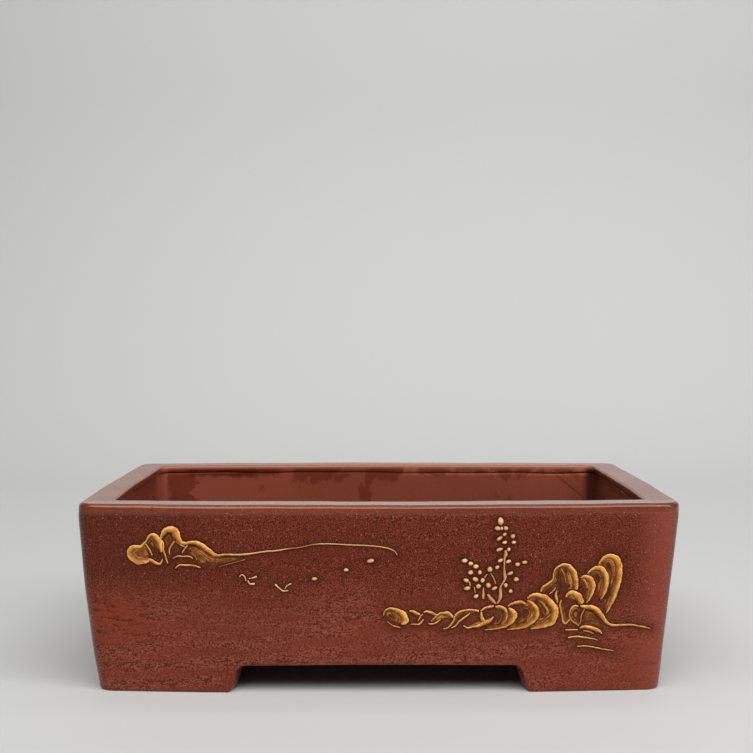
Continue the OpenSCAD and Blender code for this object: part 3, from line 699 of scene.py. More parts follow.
# ---- Slip drawing: ribbons and dabs that stand on the front wall ----
# Strokes as [(x, z, width), ...] along the front wall, as in the CAD part
GOLD = {
    "left_mound": [
        [(-114.5, 76.5, 1.2), (-115.5, 75.5, 1.6), (-117, 74, 1.7), (-119, 74, 2.2), (-121, 73.5, 2.7),
         (-122.5, 71.5, 3), (-122, 69.5, 3.2), (-120.5, 68, 3.5), (-118.5, 67, 3.7), (-116, 67, 3.2),
         (-114, 67.5, 2.5)],
    ],
    "left_hill": [
        [(-114.5, 76.5, 0.8), (-113.5, 78, 1.3), (-112.5, 79.5, 1.8), (-111, 80, 2.2), (-109.5, 79, 3),
         (-108, 77, 3.2), (-107.5, 74.5, 2.5), (-107, 72, 1.3)],
        [(-114.5, 75.5, 0.6), (-113.5, 74, 0.8), (-112.5, 72, 0.8), (-111.5, 70, 0.5)],
        [(-113, 67.5, 1.7), (-111.5, 67, 1.8), (-110, 66, 1.6), (-108, 65.5, 1.2), (-107, 66.5, 1),
         (-106.5, 68, 0.6)],
    ],
    "left_peak": [
        [(-107, 78.5, 1.2), (-106, 80.5, 2.3), (-104.5, 82.5, 3), (-102.5, 83, 3.2), (-100.5, 82.5, 4),
         (-99.5, 80.5, 4.2), (-98.5, 78.5, 3.2), (-97, 76.5, 2.2), (-95, 76, 1.8)],
        [(-106.5, 77, 1.1), (-106, 75, 1.2), (-106, 72.5, 1), (-105, 69.5, 0.9), (-104.5, 67.5, 0.9),
         (-104, 66, 0.7)],
        [(-100.5, 77, 0.7), (-102, 75, 0.8), (-103, 73, 0.8), (-103, 70.5, 0.5)],
        [(-99.5, 77, 0.5), (-97.5, 75.5, 0.6), (-95.5, 74.5, 0.6)],
        [(-94, 75, 0.9), (-95, 74, 0.9), (-96, 72.5, 0.7), (-96.5, 71.5, 0.6)],
    ],
    "shore_line": [
        [(-94.5, 76, 1.6), (-92.5, 76.5, 1.8), (-90, 76.5, 2.2), (-87.5, 75.5, 2.5), (-85.5, 74, 2.6),
         (-83, 72, 2.5), (-81, 70.5, 1.9), (-78.5, 70, 1.4), (-75.5, 70.5, 1.1), (-69, 70.5, 1),
         (-63, 71, 0.9), (-56.5, 72, 0.8), (-50.5, 72.5, 0.8), (-44, 73.5, 0.7), (-39, 74, 0.7),
         (-32.5, 75.5, 0.7), (-25.5, 76, 0.6), (-15, 75.5, 0.6), (-4, 75, 0.6), (3, 74, 0.6),
         (7, 72.5, 0.5), (8.5, 70.5, 0.4)],
    ],
    "left_ripples": [
        [(-101, 68.5, 0.6), (-99, 69.5, 0.7), (-96.5, 69.5, 0.7), (-93, 69.5, 0.8), (-91.5, 68.5, 0.6)],
        [(-100, 63.5, 0.6), (-98, 65, 1), (-95, 65, 1.1), (-91.5, 65, 0.9), (-88, 64, 0.7)],
        [(-78.5, 64.5, 0.5), (-73, 66, 0.6), (-66, 68, 0.4)],
    ],
    "rock_1": [
        [(2, 40, 0.5), (2.5, 42, 0.7), (3.5, 43, 0.9), (5.5, 43.5, 1.2), (7.5, 43, 1.7), (9.5, 42, 2.5),
         (11, 41, 3.2), (12, 39.5, 3.7), (12.5, 37.5, 3.8), (11.5, 36.5, 3)],
        [(4, 37, 0.4), (5.5, 35.5, 0.5), (7.5, 34.5, 0.6), (10, 34, 0.5)],
    ],
    "rock_2": [
        [(15, 42, 1), (16, 42, 1.5), (18, 41, 1.7), (19.5, 40.5, 1.2)],
        [(21, 40.5, 0.9), (20, 39.5, 1), (19, 37.5, 0.6)],
        [(15.5, 35.5, 0.5), (17.5, 35.5, 0.7), (19.5, 35.5, 0.9), (21, 37, 0.9), (21.5, 38, 0.6)],
    ],
    "rock_3": [
        [(22, 41.5, 0.9), (23, 42, 1.1), (24.5, 41.5, 1.4), (26, 41, 1.4), (28, 40, 0.8)],
        [(24, 36, 0.4), (25.5, 35.5, 0.7), (27.5, 36, 0.8), (29, 37, 0.8), (30, 38, 0.5)],
    ],
    "rock_4": [
        [(25.5, 37, 0.6), (27, 38.5, 0.9), (28.5, 40, 1), (30, 41, 1.1), (31.5, 41, 1.5), (33.5, 41, 1.9),
         (35, 40, 1.7), (36, 39, 1)],
    ],
    "rock_5": [
        [(31.5, 33, 0.5), (33.5, 33.5, 0.7), (35, 35, 0.9), (36.5, 37, 1), (37, 39, 1.1), (38.5, 41, 1.2),
         (40.5, 42, 1.1), (43, 42.5, 1.1), (46, 42.5, 1.2), (48.5, 42, 1.2)],
        [(35.5, 33.5, 0.5), (37.5, 34.5, 0.9), (39, 36.5, 1), (41.5, 38.5, 1), (43.5, 40, 0.8),
         (44.5, 41, 0.5)],
        [(41.5, 34.5, 0.6), (43.5, 33.5, 0.8), (46, 34, 1), (49, 34.5, 1.5), (52, 36, 2.2),
         (54.5, 37, 1.7), (56, 39, 0.6)],
        [(50, 41, 1.3), (50, 39.5, 1.8), (50.5, 38, 2.2), (51, 37, 2.2)],
    ],
    "rock_6": [
        [(50, 42, 0.8), (52, 43.5, 1.2), (54, 44, 1.3), (56, 44.5, 0.9)],
        [(57.5, 44, 1.4), (59.5, 44, 1.7), (61.5, 43, 1.7), (62.5, 41, 1.2), (62.5, 38.5, 1),
         (61.5, 36.5, 0.7), (60.5, 35, 0.5)],
    ],
    "rock_7": [
        [(63.5, 44.5, 0.7), (65, 45.5, 1.1), (67, 46, 1.5), (69.5, 46.5, 1.6), (71.5, 45.5, 1.1)],
        [(64, 43, 1.5), (65.5, 41.5, 3.3), (66, 40, 3.9), (65.5, 38, 3.5), (64, 36, 2.3), (62, 34.5, 1.6),
         (59, 33.5, 1.1), (56, 33, 0.9), (52, 32.5, 0.5)],
    ],
    "rock_8": [
        [(73, 47, 0.9), (75, 45.5, 2), (77, 43, 2.6), (77.5, 41, 2.7), (77, 38.5, 2.5), (75, 36.5, 2.4),
         (72, 34.5, 2.3), (69, 33.5, 1.6), (65.5, 33, 1), (63, 32.5, 0.5)],
    ],
    "rock_9": [
        [(73, 48.5, 0.9), (74.5, 49.5, 1.5), (76.5, 50, 2.1), (79, 49.5, 2.5), (81.5, 48.5, 3),
         (83.5, 46.5, 3.3), (85.5, 44, 3.8), (86.5, 41.5, 4.2), (86, 39, 4.1), (85, 36.5, 3.8),
         (82, 35, 3.3), (78.5, 34, 2.3), (75, 33, 0.9)],
        [(84, 40, 0.5), (82.5, 38.5, 0.6), (81, 37, 0.5), (79.5, 36, 0.4)],
    ],
    "centre_peak": [
        [(79.5, 52, 1.1), (80, 53.5, 1.3), (82, 55, 1.3), (83.5, 56, 1.2), (85, 57.5, 1.1),
         (85.5, 59, 0.9), (85.5, 61, 0.8), (86.5, 63, 0.9), (88.5, 64.5, 1.1), (90.5, 65, 1.7),
         (92.5, 64.5, 2.4), (94, 63, 2.8), (95.5, 61, 3), (96, 59, 2.9), (96.5, 56, 2.7), (96.5, 53.5, 2.3)],
        [(89, 63, 0.5), (90, 61.5, 0.5), (91, 59, 0.5), (91.5, 56, 0.4)],
        [(83.5, 50.5, 0.4), (85, 51.5, 0.5), (86.5, 53.5, 0.5)],
        [(87, 52, 0.6), (86.5, 50, 1.4), (87, 48, 1.7), (87.5, 46, 0.8)],
    ],
    "knob": [
        [(92, 49, 1.1), (93, 50.5, 1.8), (95, 51, 2.5), (96.5, 50, 3.5), (98, 48.5, 3.9), (99, 46.5, 3.5)],
        [(89.5, 47, 0.9), (89, 45, 1), (89.5, 42.5, 1.1), (90, 40, 1.1), (90.5, 38, 1.1), (91, 36, 1.2),
         (92, 35.5, 1.3), (93, 36.5, 1.1), (94, 37.5, 0.8)],
    ],
    "round_stone": [
        [(97.5, 44, 1.2), (96, 44, 1.3), (94.5, 42.5, 1.1), (94, 41, 0.8), (94, 39, 0.8), (95, 37, 0.9),
         (97, 35.5, 1), (98.5, 34.5, 1)],
        [(101, 42.5, 0.7), (100, 40.5, 0.6), (99.5, 39, 0.6), (99.5, 37, 0.6), (99, 35, 0.5)],
    ],
    "boulder": [
        [(99.5, 44, 1.5), (101.5, 43.5, 2.1), (103.5, 43.5, 2.5), (106.5, 42.5, 2.7), (108.5, 40.5, 2.7),
         (110, 38.5, 2.5), (111.5, 36.5, 2.1), (113, 35, 1.6), (115.5, 34, 1.4), (119, 34, 1.2),
         (125, 34, 1), (130.5, 33, 0.8), (134.5, 32, 0.5)],
        [(99.5, 33, 1.1), (101.5, 33.5, 1.7), (104, 33, 2), (107, 32, 2), (109, 31, 1.5), (110, 30, 0.8)],
    ],
    "right_ripples": [
        [(92, 32, 0.6), (95, 32, 0.7), (98, 32, 0.6)],
        [(93.5, 28, 0.8), (97.5, 28.5, 1), (101.5, 28, 0.9), (104.5, 27.5, 0.7), (107, 27, 0.6),
         (108, 26.5, 0.5)],
        [(98, 23.5, 0.5), (103, 23.5, 0.7), (108, 22.5, 0.7), (112.5, 21.5, 0.6), (116, 21, 0.4)],
        [(101, 31.5, 0.5), (103.5, 31, 0.6), (106, 30, 0.5)],
    ],
    "peak_a": [
        [(99, 58.5, 0.6), (100.5, 59, 1.5), (102.5, 58.5, 2.5), (104, 57, 3), (105, 54.5, 2.9),
         (104.5, 51.5, 2.3), (103.5, 48.5, 1.5), (102, 46, 0.6)],
        [(100.5, 57.5, 0.6), (101.5, 56, 0.6), (102.5, 53.5, 0.4)],
    ],
    "peak_b": [
        [(102.5, 60.5, 0.6), (104, 62, 1.3), (106, 63, 2), (108.5, 63, 2.8), (110.5, 61, 3.1),
         (111.5, 58.5, 3), (111.5, 55.5, 2.8), (111, 52.5, 2.5), (110, 49.5, 1.8), (109, 47.5, 0.7)],
    ],
    "peak_c": [
        [(108, 65, 0.7), (109, 66.5, 1.5), (111, 68.5, 2), (113.5, 69, 2.5), (116, 68, 3.4),
         (117.5, 65.5, 3.8), (118, 62.5, 3.8), (118, 59, 3.5), (117.5, 55.5, 3.2), (116.5, 52, 2.9),
         (115.5, 48.5, 2.5), (114, 45, 1.9), (113, 42.5, 1.3), (112, 40.5, 0.6)],
    ],
}

PALE = {
    "near_bird": [
        [(-68.5, 59.5, 0.6), (-67.5, 60.5, 0.7), (-66, 59.5, 0.7), (-65.5, 57.5, 0.5)],
        [(-64.5, 57.5, 0.7), (-63.5, 56, 1.1), (-61.5, 56, 1.1)],
        [(-64, 58.5, 0.6), (-62, 59, 0.8), (-60.5, 59.5, 1.2)],
    ],
    "far_bird": [
        [(-51, 55.5, 1.2), (-49.5, 54, 0.8), (-47.5, 52.5, 1), (-45, 52.5, 0.7)],
        [(-46.5, 53.5, 0.6), (-45.5, 55, 0.6), (-43.5, 56, 0.7)],
    ],
    "tree_trunk": [
        [(61.5, 72, 1.3), (61.5, 70.5, 1.6), (61, 68.5, 0.9), (61, 65.5, 0.7), (61, 63, 0.9),
         (61.5, 60, 1.4), (61.5, 58, 1.1), (60.5, 56, 0.7), (59.5, 54, 0.9), (59.5, 51.5, 1.5),
         (59.5, 49.5, 1.7), (59, 47.5, 1.2), (58, 46, 0.7)],
    ],
    "tree_branches": [
        [(53.5, 50, 1.5), (54.5, 48.5, 1.7), (56, 47, 1.6), (57, 46, 1)],
        [(51, 53.5, 0.8), (51, 51.5, 1), (51, 49.5, 1.3), (51, 48.5, 1.1)],
        [(54.5, 61, 0.5), (56, 58.5, 0.6), (57, 56, 0.6)],
        [(52.5, 60.5, 0.6), (51.5, 59, 0.7)],
        [(46.5, 54, 0.5), (47, 51.5, 0.6)],
        [(44, 56.5, 0.9), (44.5, 55, 0.8)],
    ],
}

# Dabs as (x, z, width, height, tilt)
DABS = {
    "distant_birds": [
        (-32, 58.5, 3, 1.7, 10), (-16.5, 63, 2.5, 1.7, 10), (-4.5, 67.5, 3.9, 1.9, 15)],
    "tree_leaves": [
        (59, 87, 3.1, 4, 0), (57.5, 83.5, 3, 2.3, 0), (59.5, 83.5, 1.5, 1.7, 0), (61.5, 83.5, 2.3, 2.2, 0),
        (61, 80.5, 2.1, 1.7, 30), (58.5, 78.5, 3.3, 1.7, 30), (65, 79.5, 2.3, 2.3, 0),
        (65.5, 76.5, 2.3, 1.7, 0), (61, 76.5, 2.4, 1.7, 15), (58.5, 73, 3.7, 1.6, 20),
        (63, 73, 1.7, 2.1, 0), (59, 67.5, 3, 1.7, 30), (63, 67, 2.8, 1.9, 20), (67.5, 65.5, 2.7, 2, 0),
        (71, 66.5, 2.8, 1.7, 0), (41.5, 67.5, 3, 2.3, 0), (44.5, 66, 2.5, 2.2, 0),
        (47, 64.5, 2.8, 2.4, 15), (44.5, 61.5, 2.8, 2.3, 0), (49, 61.5, 2.1, 2.3, 0),
        (54, 63, 2.7, 2.7, 0), (57.5, 64, 2.3, 1.9, 30), (64, 61, 3.1, 1.7, 25), (67, 58, 2.8, 2.1, 0),
        (42.5, 57.5, 2.8, 2.1, -30), (47, 58, 3.1, 2.2, -15), (50.5, 57.5, 2.1, 2.6, 0),
        (43, 53.5, 3.5, 2, 15), (48.5, 54.5, 2.7, 2.3, 0), (53.5, 55, 2.7, 2.6, 0),
        (56.5, 53.5, 3.1, 1.7, 25), (62, 55, 2.1, 2.2, 0), (64.5, 52, 2.1, 2, 0), (47.5, 49.5, 2.6, 1.9, 35)],
}

# strokes that curl the other way round their lobe, so that their outer edge is on the right
BACKWARDS = {("left_mound", 0), ("round_stone", 0), ("knob", 1)}
SLIP_SUNK = -0.2                    # how deep the slip's edges sit in the wall
PATH_STEP, MIN_WIDTH = 0.4, 0.35
TIP_LENGTH = 0.42                   # of a stroke's rounded tips, as a share of its width
DAB_SIDES, DAB_RISES = 20, (0.0, 12.0, 28.0, 46.0, 64.0, 80.0)      # rings at these angles (degrees)


def slip_height(w):
    """How high a stroke of width w stands."""
    return np.minimum(0.75, 0.25 + 0.13 * w)


def smooth_path(path):
    """Catmull-Rom curve through (x, z, width) points, with rounded tips."""
    p = np.array(path, float)
    q = np.vstack([2 * p[0] - p[1], p, 2 * p[-1] - p[-2]])
    out = []
    for i in range(1, len(q) - 2):
        a, b, c, d = q[i - 1:i + 3]
        n = max(2, int(round(np.linalg.norm(c[:2] - b[:2]) / PATH_STEP)))
        for t in np.arange(n) / n:
            out.append(0.5 * (2 * b + (c - a) * t + (2 * a - 5 * b + 4 * c - d) * t * t
                              + (3 * b - 3 * c + d - a) * t ** 3))
    out.append(p[-1])
    out = np.array(out)
    out[:, 2] = np.maximum(out[:, 2], MIN_WIDTH)
    tips = []
    for end, inner in ((out[0], out[1]), (out[-1], out[-2])):
        u = (end[:2] - inner[:2]) / np.linalg.norm(end[:2] - inner[:2])
        tips.append([np.array([*(end[:2] + u * end[2] * TIP_LENGTH * g), end[2] * math.sqrt(1 - g * g)])
                     for g in (0.35, 0.65, 0.86, 0.97)])
    return np.vstack([np.array(tips[0][::-1]), out, np.array(tips[1])])


ACROSS = np.linspace(-1, 1, 11)
SECTION = (1 - np.abs(ACROSS) ** 3.4) ** 0.62          # rounded, flat on top


def on_wall(x, z, h):
    """Point h above the finished wall, whose unevenness the slip follows."""
    foot = face_pt(x, z)
    return face_pt(x, z, h) + (hand_made(foot) - foot)


def tube_faces(n_rings, n):
    """Faces between closed rings of n points."""
    return [[r * n + i, r * n + (i + 1) % n, (r + 1) * n + (i + 1) % n, (r + 1) * n + i]
            for r in range(n_rings - 1) for i in range(n)]


def ribbon(path, seed, outer_side):
    """A trailed stroke: its vertices, faces and two attributes, and the smooth path it follows.

    Its thickness and both its edges vary a little along the way; underneath it has one sunk row.
    """
    p = smooth_path(path)
    n = len(p)
    v = np.gradient(p[:, :2], axis=0)
    v /= np.linalg.norm(v, axis=1, keepdims=True)
    left = np.stack([-v[:, 1], v[:, 0]], 1)
    along = np.concatenate([[0], np.cumsum(np.linalg.norm(np.diff(p[:, :2], axis=0), axis=1))])
    ph = np.random.RandomState(seed).uniform(0, 6.28, 6)
    thick = 1 + 0.12 * np.sin(along * 0.9 + ph[0]) + 0.08 * np.sin(along * 2.3 + ph[1])
    edge_l = 1 + 0.07 * np.sin(along * 1.7 + ph[2]) + 0.05 * np.sin(along * 4.1 + ph[3])
    edge_r = 1 + 0.07 * np.sin(along * 1.5 + ph[4]) + 0.05 * np.sin(along * 3.7 + ph[5])
    verts, across, run_mm, m = [], [], [], len(ACROSS) + 1
    for i in range(n):
        w = p[i, 2] / 2
        off = ACROSS * w * np.where(ACROSS > 0, edge_l[i], edge_r[i])
        ridge = 1 + 0.1 * np.sin(ACROSS * 6 + ph[1] + along[i] * 0.2) * min(1.0, p[i, 2] / 2)
        h = slip_height(p[i, 2]) * min(1.0, 0.25 + p[i, 2]) * SECTION * thick[i] * ridge
        h[[0, -1]] = SLIP_SUNK
        xs, zs = p[i, 0] + left[i, 0] * off, p[i, 1] + left[i, 1] * off
        verts.append(on_wall(xs, zs, h))
        verts.append(on_wall(p[i, :1], p[i, 1:2], np.array([SLIP_SUNK - 0.1])))
        across += list(ACROSS * outer_side) + [0]
        run_mm += [along[i]] * m
    faces = tube_faces(n, m) + [list(range(m))[::-1], [(n - 1) * m + j for j in range(m)]]
    return (np.vstack(verts), faces, across, run_mm), p


def dab(x, z, w, h, tilt, seed):
    """A domed dab, w by h, turned by tilt degrees."""
    ph = np.random.RandomState(seed).uniform(0, 6.28, 4)
    n, rings = DAB_SIDES, len(DAB_RISES)
    ang = np.linspace(0, 2 * np.pi, n, endpoint=False)
    shape = 1 + 0.05 * np.sin(2 * ang + ph[0]) + 0.035 * np.sin(3 * ang + ph[1])
    tall = 0.62 + 0.11 * min(w, h)
    verts, across = [], []
    c, s = math.cos(math.radians(tilt)), math.sin(math.radians(tilt))
    lean_x, lean_z = 0.06 * w * math.sin(ph[2]), 0.05 * h
    for g in DAB_RISES:
        k, up = math.cos(math.radians(g)), math.sin(math.radians(g))
        u = shape * k * w / 2 * np.cos(ang) + lean_x * up
        v = shape * k * h / 2 * np.sin(ang) + lean_z * up
        hh = (SLIP_SUNK if g == 0 else tall * up ** 0.75) + 0 * ang
        verts.append(on_wall(x + u * c - v * s, z + u * s + v * c, hh))
        across += [k] * n
    verts.append(on_wall(np.array([x, x + lean_x]), np.array([z, z + lean_z]),
                         np.array([SLIP_SUNK, tall])))
    across += [0, 0]
    faces = tube_faces(rings, n)
    for i in range(n):
        faces.append([(i + 1) % n, i, rings * n])
        faces.append([(rings - 1) * n + i, (rings - 1) * n + (i + 1) % n, rings * n + 1])
    return np.vstack(verts), faces, across, [seed * 1.7] * len(across)


def slip_piece(name, parts, material, slot):
    """Joins the strokes or dabs of one CAD node into a piece."""
    verts, faces, across, along = [], [], [], []
    for v, f, a, r in parts:
        base = len(across)
        verts.append(v)
        faces += [[i + base for i in q] for q in f]
        across += a
        along += r
    me = new_mesh(name + "_slip", np.vstack(verts), faces)
    keep(me, "across", across)
    keep(me, "along", along)
    bm = bmesh.new()
    bm.from_mesh(me)
    bmesh.ops.recalc_face_normals(bm, faces=bm.faces[:])
    bm.to_mesh(me)
    bm.free()
    smooth(me)
    add_piece(name + "_slip", me, name, slot, material)


# ---- Wash: thin slip inside the lobes and a dark halo of painted shade round the strokes, kept on the wall's points ----
# which strokes of a node are filled with thin slip on their inner side: mostly the first one
UNFILLED = ("left_peak", "shore_line", "left_ripples", "boulder", "right_ripples")
LOBES = {name: [0] for name in GOLD if name not in UNFILLED}
LOBES.update(rock_5=[0, 2], rock_6=[0, 1], rock_7=[0, 1], knob=[0, 1])
WIDER = {"tree_trunk": 1.12, "near_bird": 0.85, "far_bird": 0.85}
FILLED = {"left_mound": 0.85}       # lobes brushed over almost fully
SHADED = [                          # further washed areas: outline, and how ochre it is
    ([(-107, 78), (-104, 82), (-100, 80), (-98, 78), (-95, 76), (-97, 71), (-103.5, 66)], 0.2),
    ([(-94.5, 75), (-88, 75), (-83, 71), (-78, 69.5), (-63, 69.5), (-70, 67), (-80, 65.5),
      (-89, 66), (-93, 70)], 0.9),
    ([(100, 43), (106, 42), (110, 37), (113, 34.5), (109, 31), (101, 34)], 0.3),
    ([(7, 35), (10, 41), (12, 36)], 0.2),
    ([(16, 36), (18, 41), (21, 40), (20, 36)], 0.3),
    ([(24, 36.5), (26, 41), (29, 40), (28, 36.5)], 0.2),
]


def inside(poly, x, z):
    """Which points are inside an outline."""
    poly = np.asarray(poly, float)
    hit = np.zeros(x.shape, bool)
    for (x0, z0), (x1, z1) in zip(poly, np.roll(poly, -1, 0)):
        if z0 != z1:
            hit ^= ((z0 > z) != (z1 > z)) & (x < (x1 - x0) * (z - z0) / (z1 - z0) + x0)
    return hit


def edge_distance(poly, x, z):
    """How far points are from an outline."""
    poly = np.asarray(poly, float)
    best = np.full(x.shape, 1e9)
    for a, b in zip(poly, np.roll(poly, -1, 0)):
        ab = b - a
        t = np.clip(((x - a[0]) * ab[0] + (z - a[1]) * ab[1]) / max(ab @ ab, 1e-9), 0, 1)
        best = np.minimum(best, np.hypot(x - a[0] - t * ab[0], z - a[1] - t * ab[1]))
    return best


FRONT_Y, FRONT_Z = -84.0, 14.0      # the painted points lie in front of and above these
HALO_STROKE, HALO_DAB = 0.7, 0.9    # how far the painted shade halo reaches round a stroke and a dab
REACH = 8.0                         # no stroke marks the wall farther off
OCHRE_REACH = 2.2


def fade(distance, width):
    return np.exp(-np.maximum(distance, 0) / width)


def filled(poly, x, z, edge):
    """1 inside an outline, falling to 0 over the last bit before its edge."""
    return np.where(inside(poly, x, z), np.clip(edge_distance(poly, x, z) / edge, 0, 1), 0)


def paint(me, lines, dabs):
    """Stores wash, ochre, halo (painted shade round the strokes) and lane (the distance to the next stroke)
    on the front wall's points.
    """
    co = read(me.vertices, "co", 3) / MM
    face = (co[:, 1] < FRONT_Y) & (co[:, 2] > FRONT_Z)
    x, z = co[face, 0].astype(float), co[face, 2].astype(float)
    halo, wash, ochre = np.zeros(x.shape), np.zeros(x.shape), np.zeros(x.shape)
    lane = np.full(x.shape, 40.0)
    for (name, i), p in lines.items():
        near = (x > p[:, 0].min() - REACH) & (x < p[:, 0].max() + REACH) \
            & (z > p[:, 1].min() - REACH) & (z < p[:, 1].max() + REACH)
        xi, zi = x[near], z[near]
        d = np.full(xi.shape, 1e9)
        for px, pz, pw in p[::2]:
            d = np.minimum(d, np.hypot(xi - px, zi - pz) - pw / 2)
        halo[near] = np.maximum(halo[near], fade(d, HALO_STROKE))
        lane[near] = np.minimum(lane[near], np.maximum(d, 0))
        if i in LOBES.get(name, ()):
            lobe = p[::4, :2]
            wash[near] = np.maximum(wash[near], filled(lobe, xi, zi, 0.8))
            tone = np.maximum(fade(d, OCHRE_REACH), FILLED.get(name, 0))
            ochre[near] = np.maximum(ochre[near], np.where(inside(lobe, xi, zi), tone, 0))
    for outline, tone in SHADED:
        w = filled(outline, x, z, 1.3)
        wash = np.maximum(wash, w * 0.85)
        ochre = np.maximum(ochre, w * tone)
    for px, pz, w, h, _ in dabs:
        d = np.hypot((x - px) / w, (z - pz) / h) * min(w, h) - min(w, h) / 2
        halo = np.maximum(halo, fade(d, HALO_DAB))
    for key, values in (("halo", halo), ("lane", lane), ("wash", wash), ("ochre", ochre)):
        full = np.zeros(len(co))
        full[face] = values
        keep(me, key, full)


# ---- Materials: node trees written as expressions, with places in millimetres ----
TONES = {                           # colours as they look, sRGB 0-255
    # the sandy grain, its body and the closed skin between, each paler low down and browner high up
    "body": (82, 27, 12), "body_high": (62, 19, 9), "sand": (148, 83, 63), "sand_high": (130, 63, 46),
    "skin": (116, 50, 34), "skin_cool": (106, 46, 32), "skin_mottle": (98, 38, 25),
    "skin_high": (84, 31, 17), "lighter_patch": (126, 55, 38), "pit": (72, 24, 9), "left_brown": (62, 30, 20),
    # painted sheen under the rim, painted highlight on the right corner, painted light on the back rim's lip,
    # painted shade underneath
    "painted_sheen_under_rim": (146, 70, 36), "painted_highlight_right_corner": (146, 74, 60), "painted_light_back_rim_lip": (190, 128, 104),
    "speck": (190, 130, 100), "glint": (200, 144, 120), "underside": (52, 26, 18),
    # the inside wall: a lighter copy of the outer clay standing in for the light inside, with painted shade,
    # painted highlights and a tool mark drawn as its groove's painted shade
    "inside": (134, 70, 51), "inside_cool": (126, 64, 46), "cloud": (98, 38, 22), "painted_crease_shade": (72, 24, 12),
    "painted_highlight_left_corner": (158, 82, 66), "tool_mark_groove_shade": (72, 26, 15), "painted_light_in_crease": (186, 110, 84),
    "painted_shade_right_end": (70, 32, 20),
    # what the drawing leaves on the wall, and the painted shade round its strokes
    "stain": (74, 32, 20), "wash": (58, 30, 15), "wash_glow": (160, 102, 44),
    "wash_lines": (212, 146, 66), "painted_stroke_shade": (30, 11, 7),
    # slip
    "pale_light": (248, 208, 150), "pale": (226, 166, 98), "pale_deep": (160, 96, 52),
    "gold_light": (250, 186, 92), "gold": (224, 142, 60), "gold_deep": (158, 88, 34),
    "gold_brown": (84, 42, 20), "gold_glint": (255, 212, 128), "gold_edge": (255, 208, 120),
    "far_shore": (228, 180, 128), "worn_thin": (132, 80, 42), "twig": (212, 156, 104),
    "low_edge": (122, 72, 36),
}
PAPER_LEFT, PAPER_RIGHT = (0.655, 0.66, 0.630, 1), (0.645, 0.645, 0.643, 1)      # linear
PAPER_PATCH = (0.60, 0.605, 0.59, 1)


def linear(r, g, b):
    """sRGB 0-255 to a linear colour."""
    out = []
    for v in (r, g, b):
        v /= 255
        out.append(v / 12.92 if v <= 0.04045 else ((v + 0.055) / 1.055) ** 2.4)
    return (*out, 1.0)


class Value:
    """A node's output; sums and products of values add math nodes."""

    def __init__(self, net, socket):
        self.net, self.socket = net, socket

    def __add__(self, other):
        return self.net.math("ADD", self, other)

    def __sub__(self, other):
        return self.net.math("SUBTRACT", self, other)

    def __rsub__(self, other):
        return self.net.math("SUBTRACT", other, self)

    def __mul__(self, other):
        return self.net.math("MULTIPLY", self, other)

    def __abs__(self):
        return self.net.math("ABSOLUTE", self)


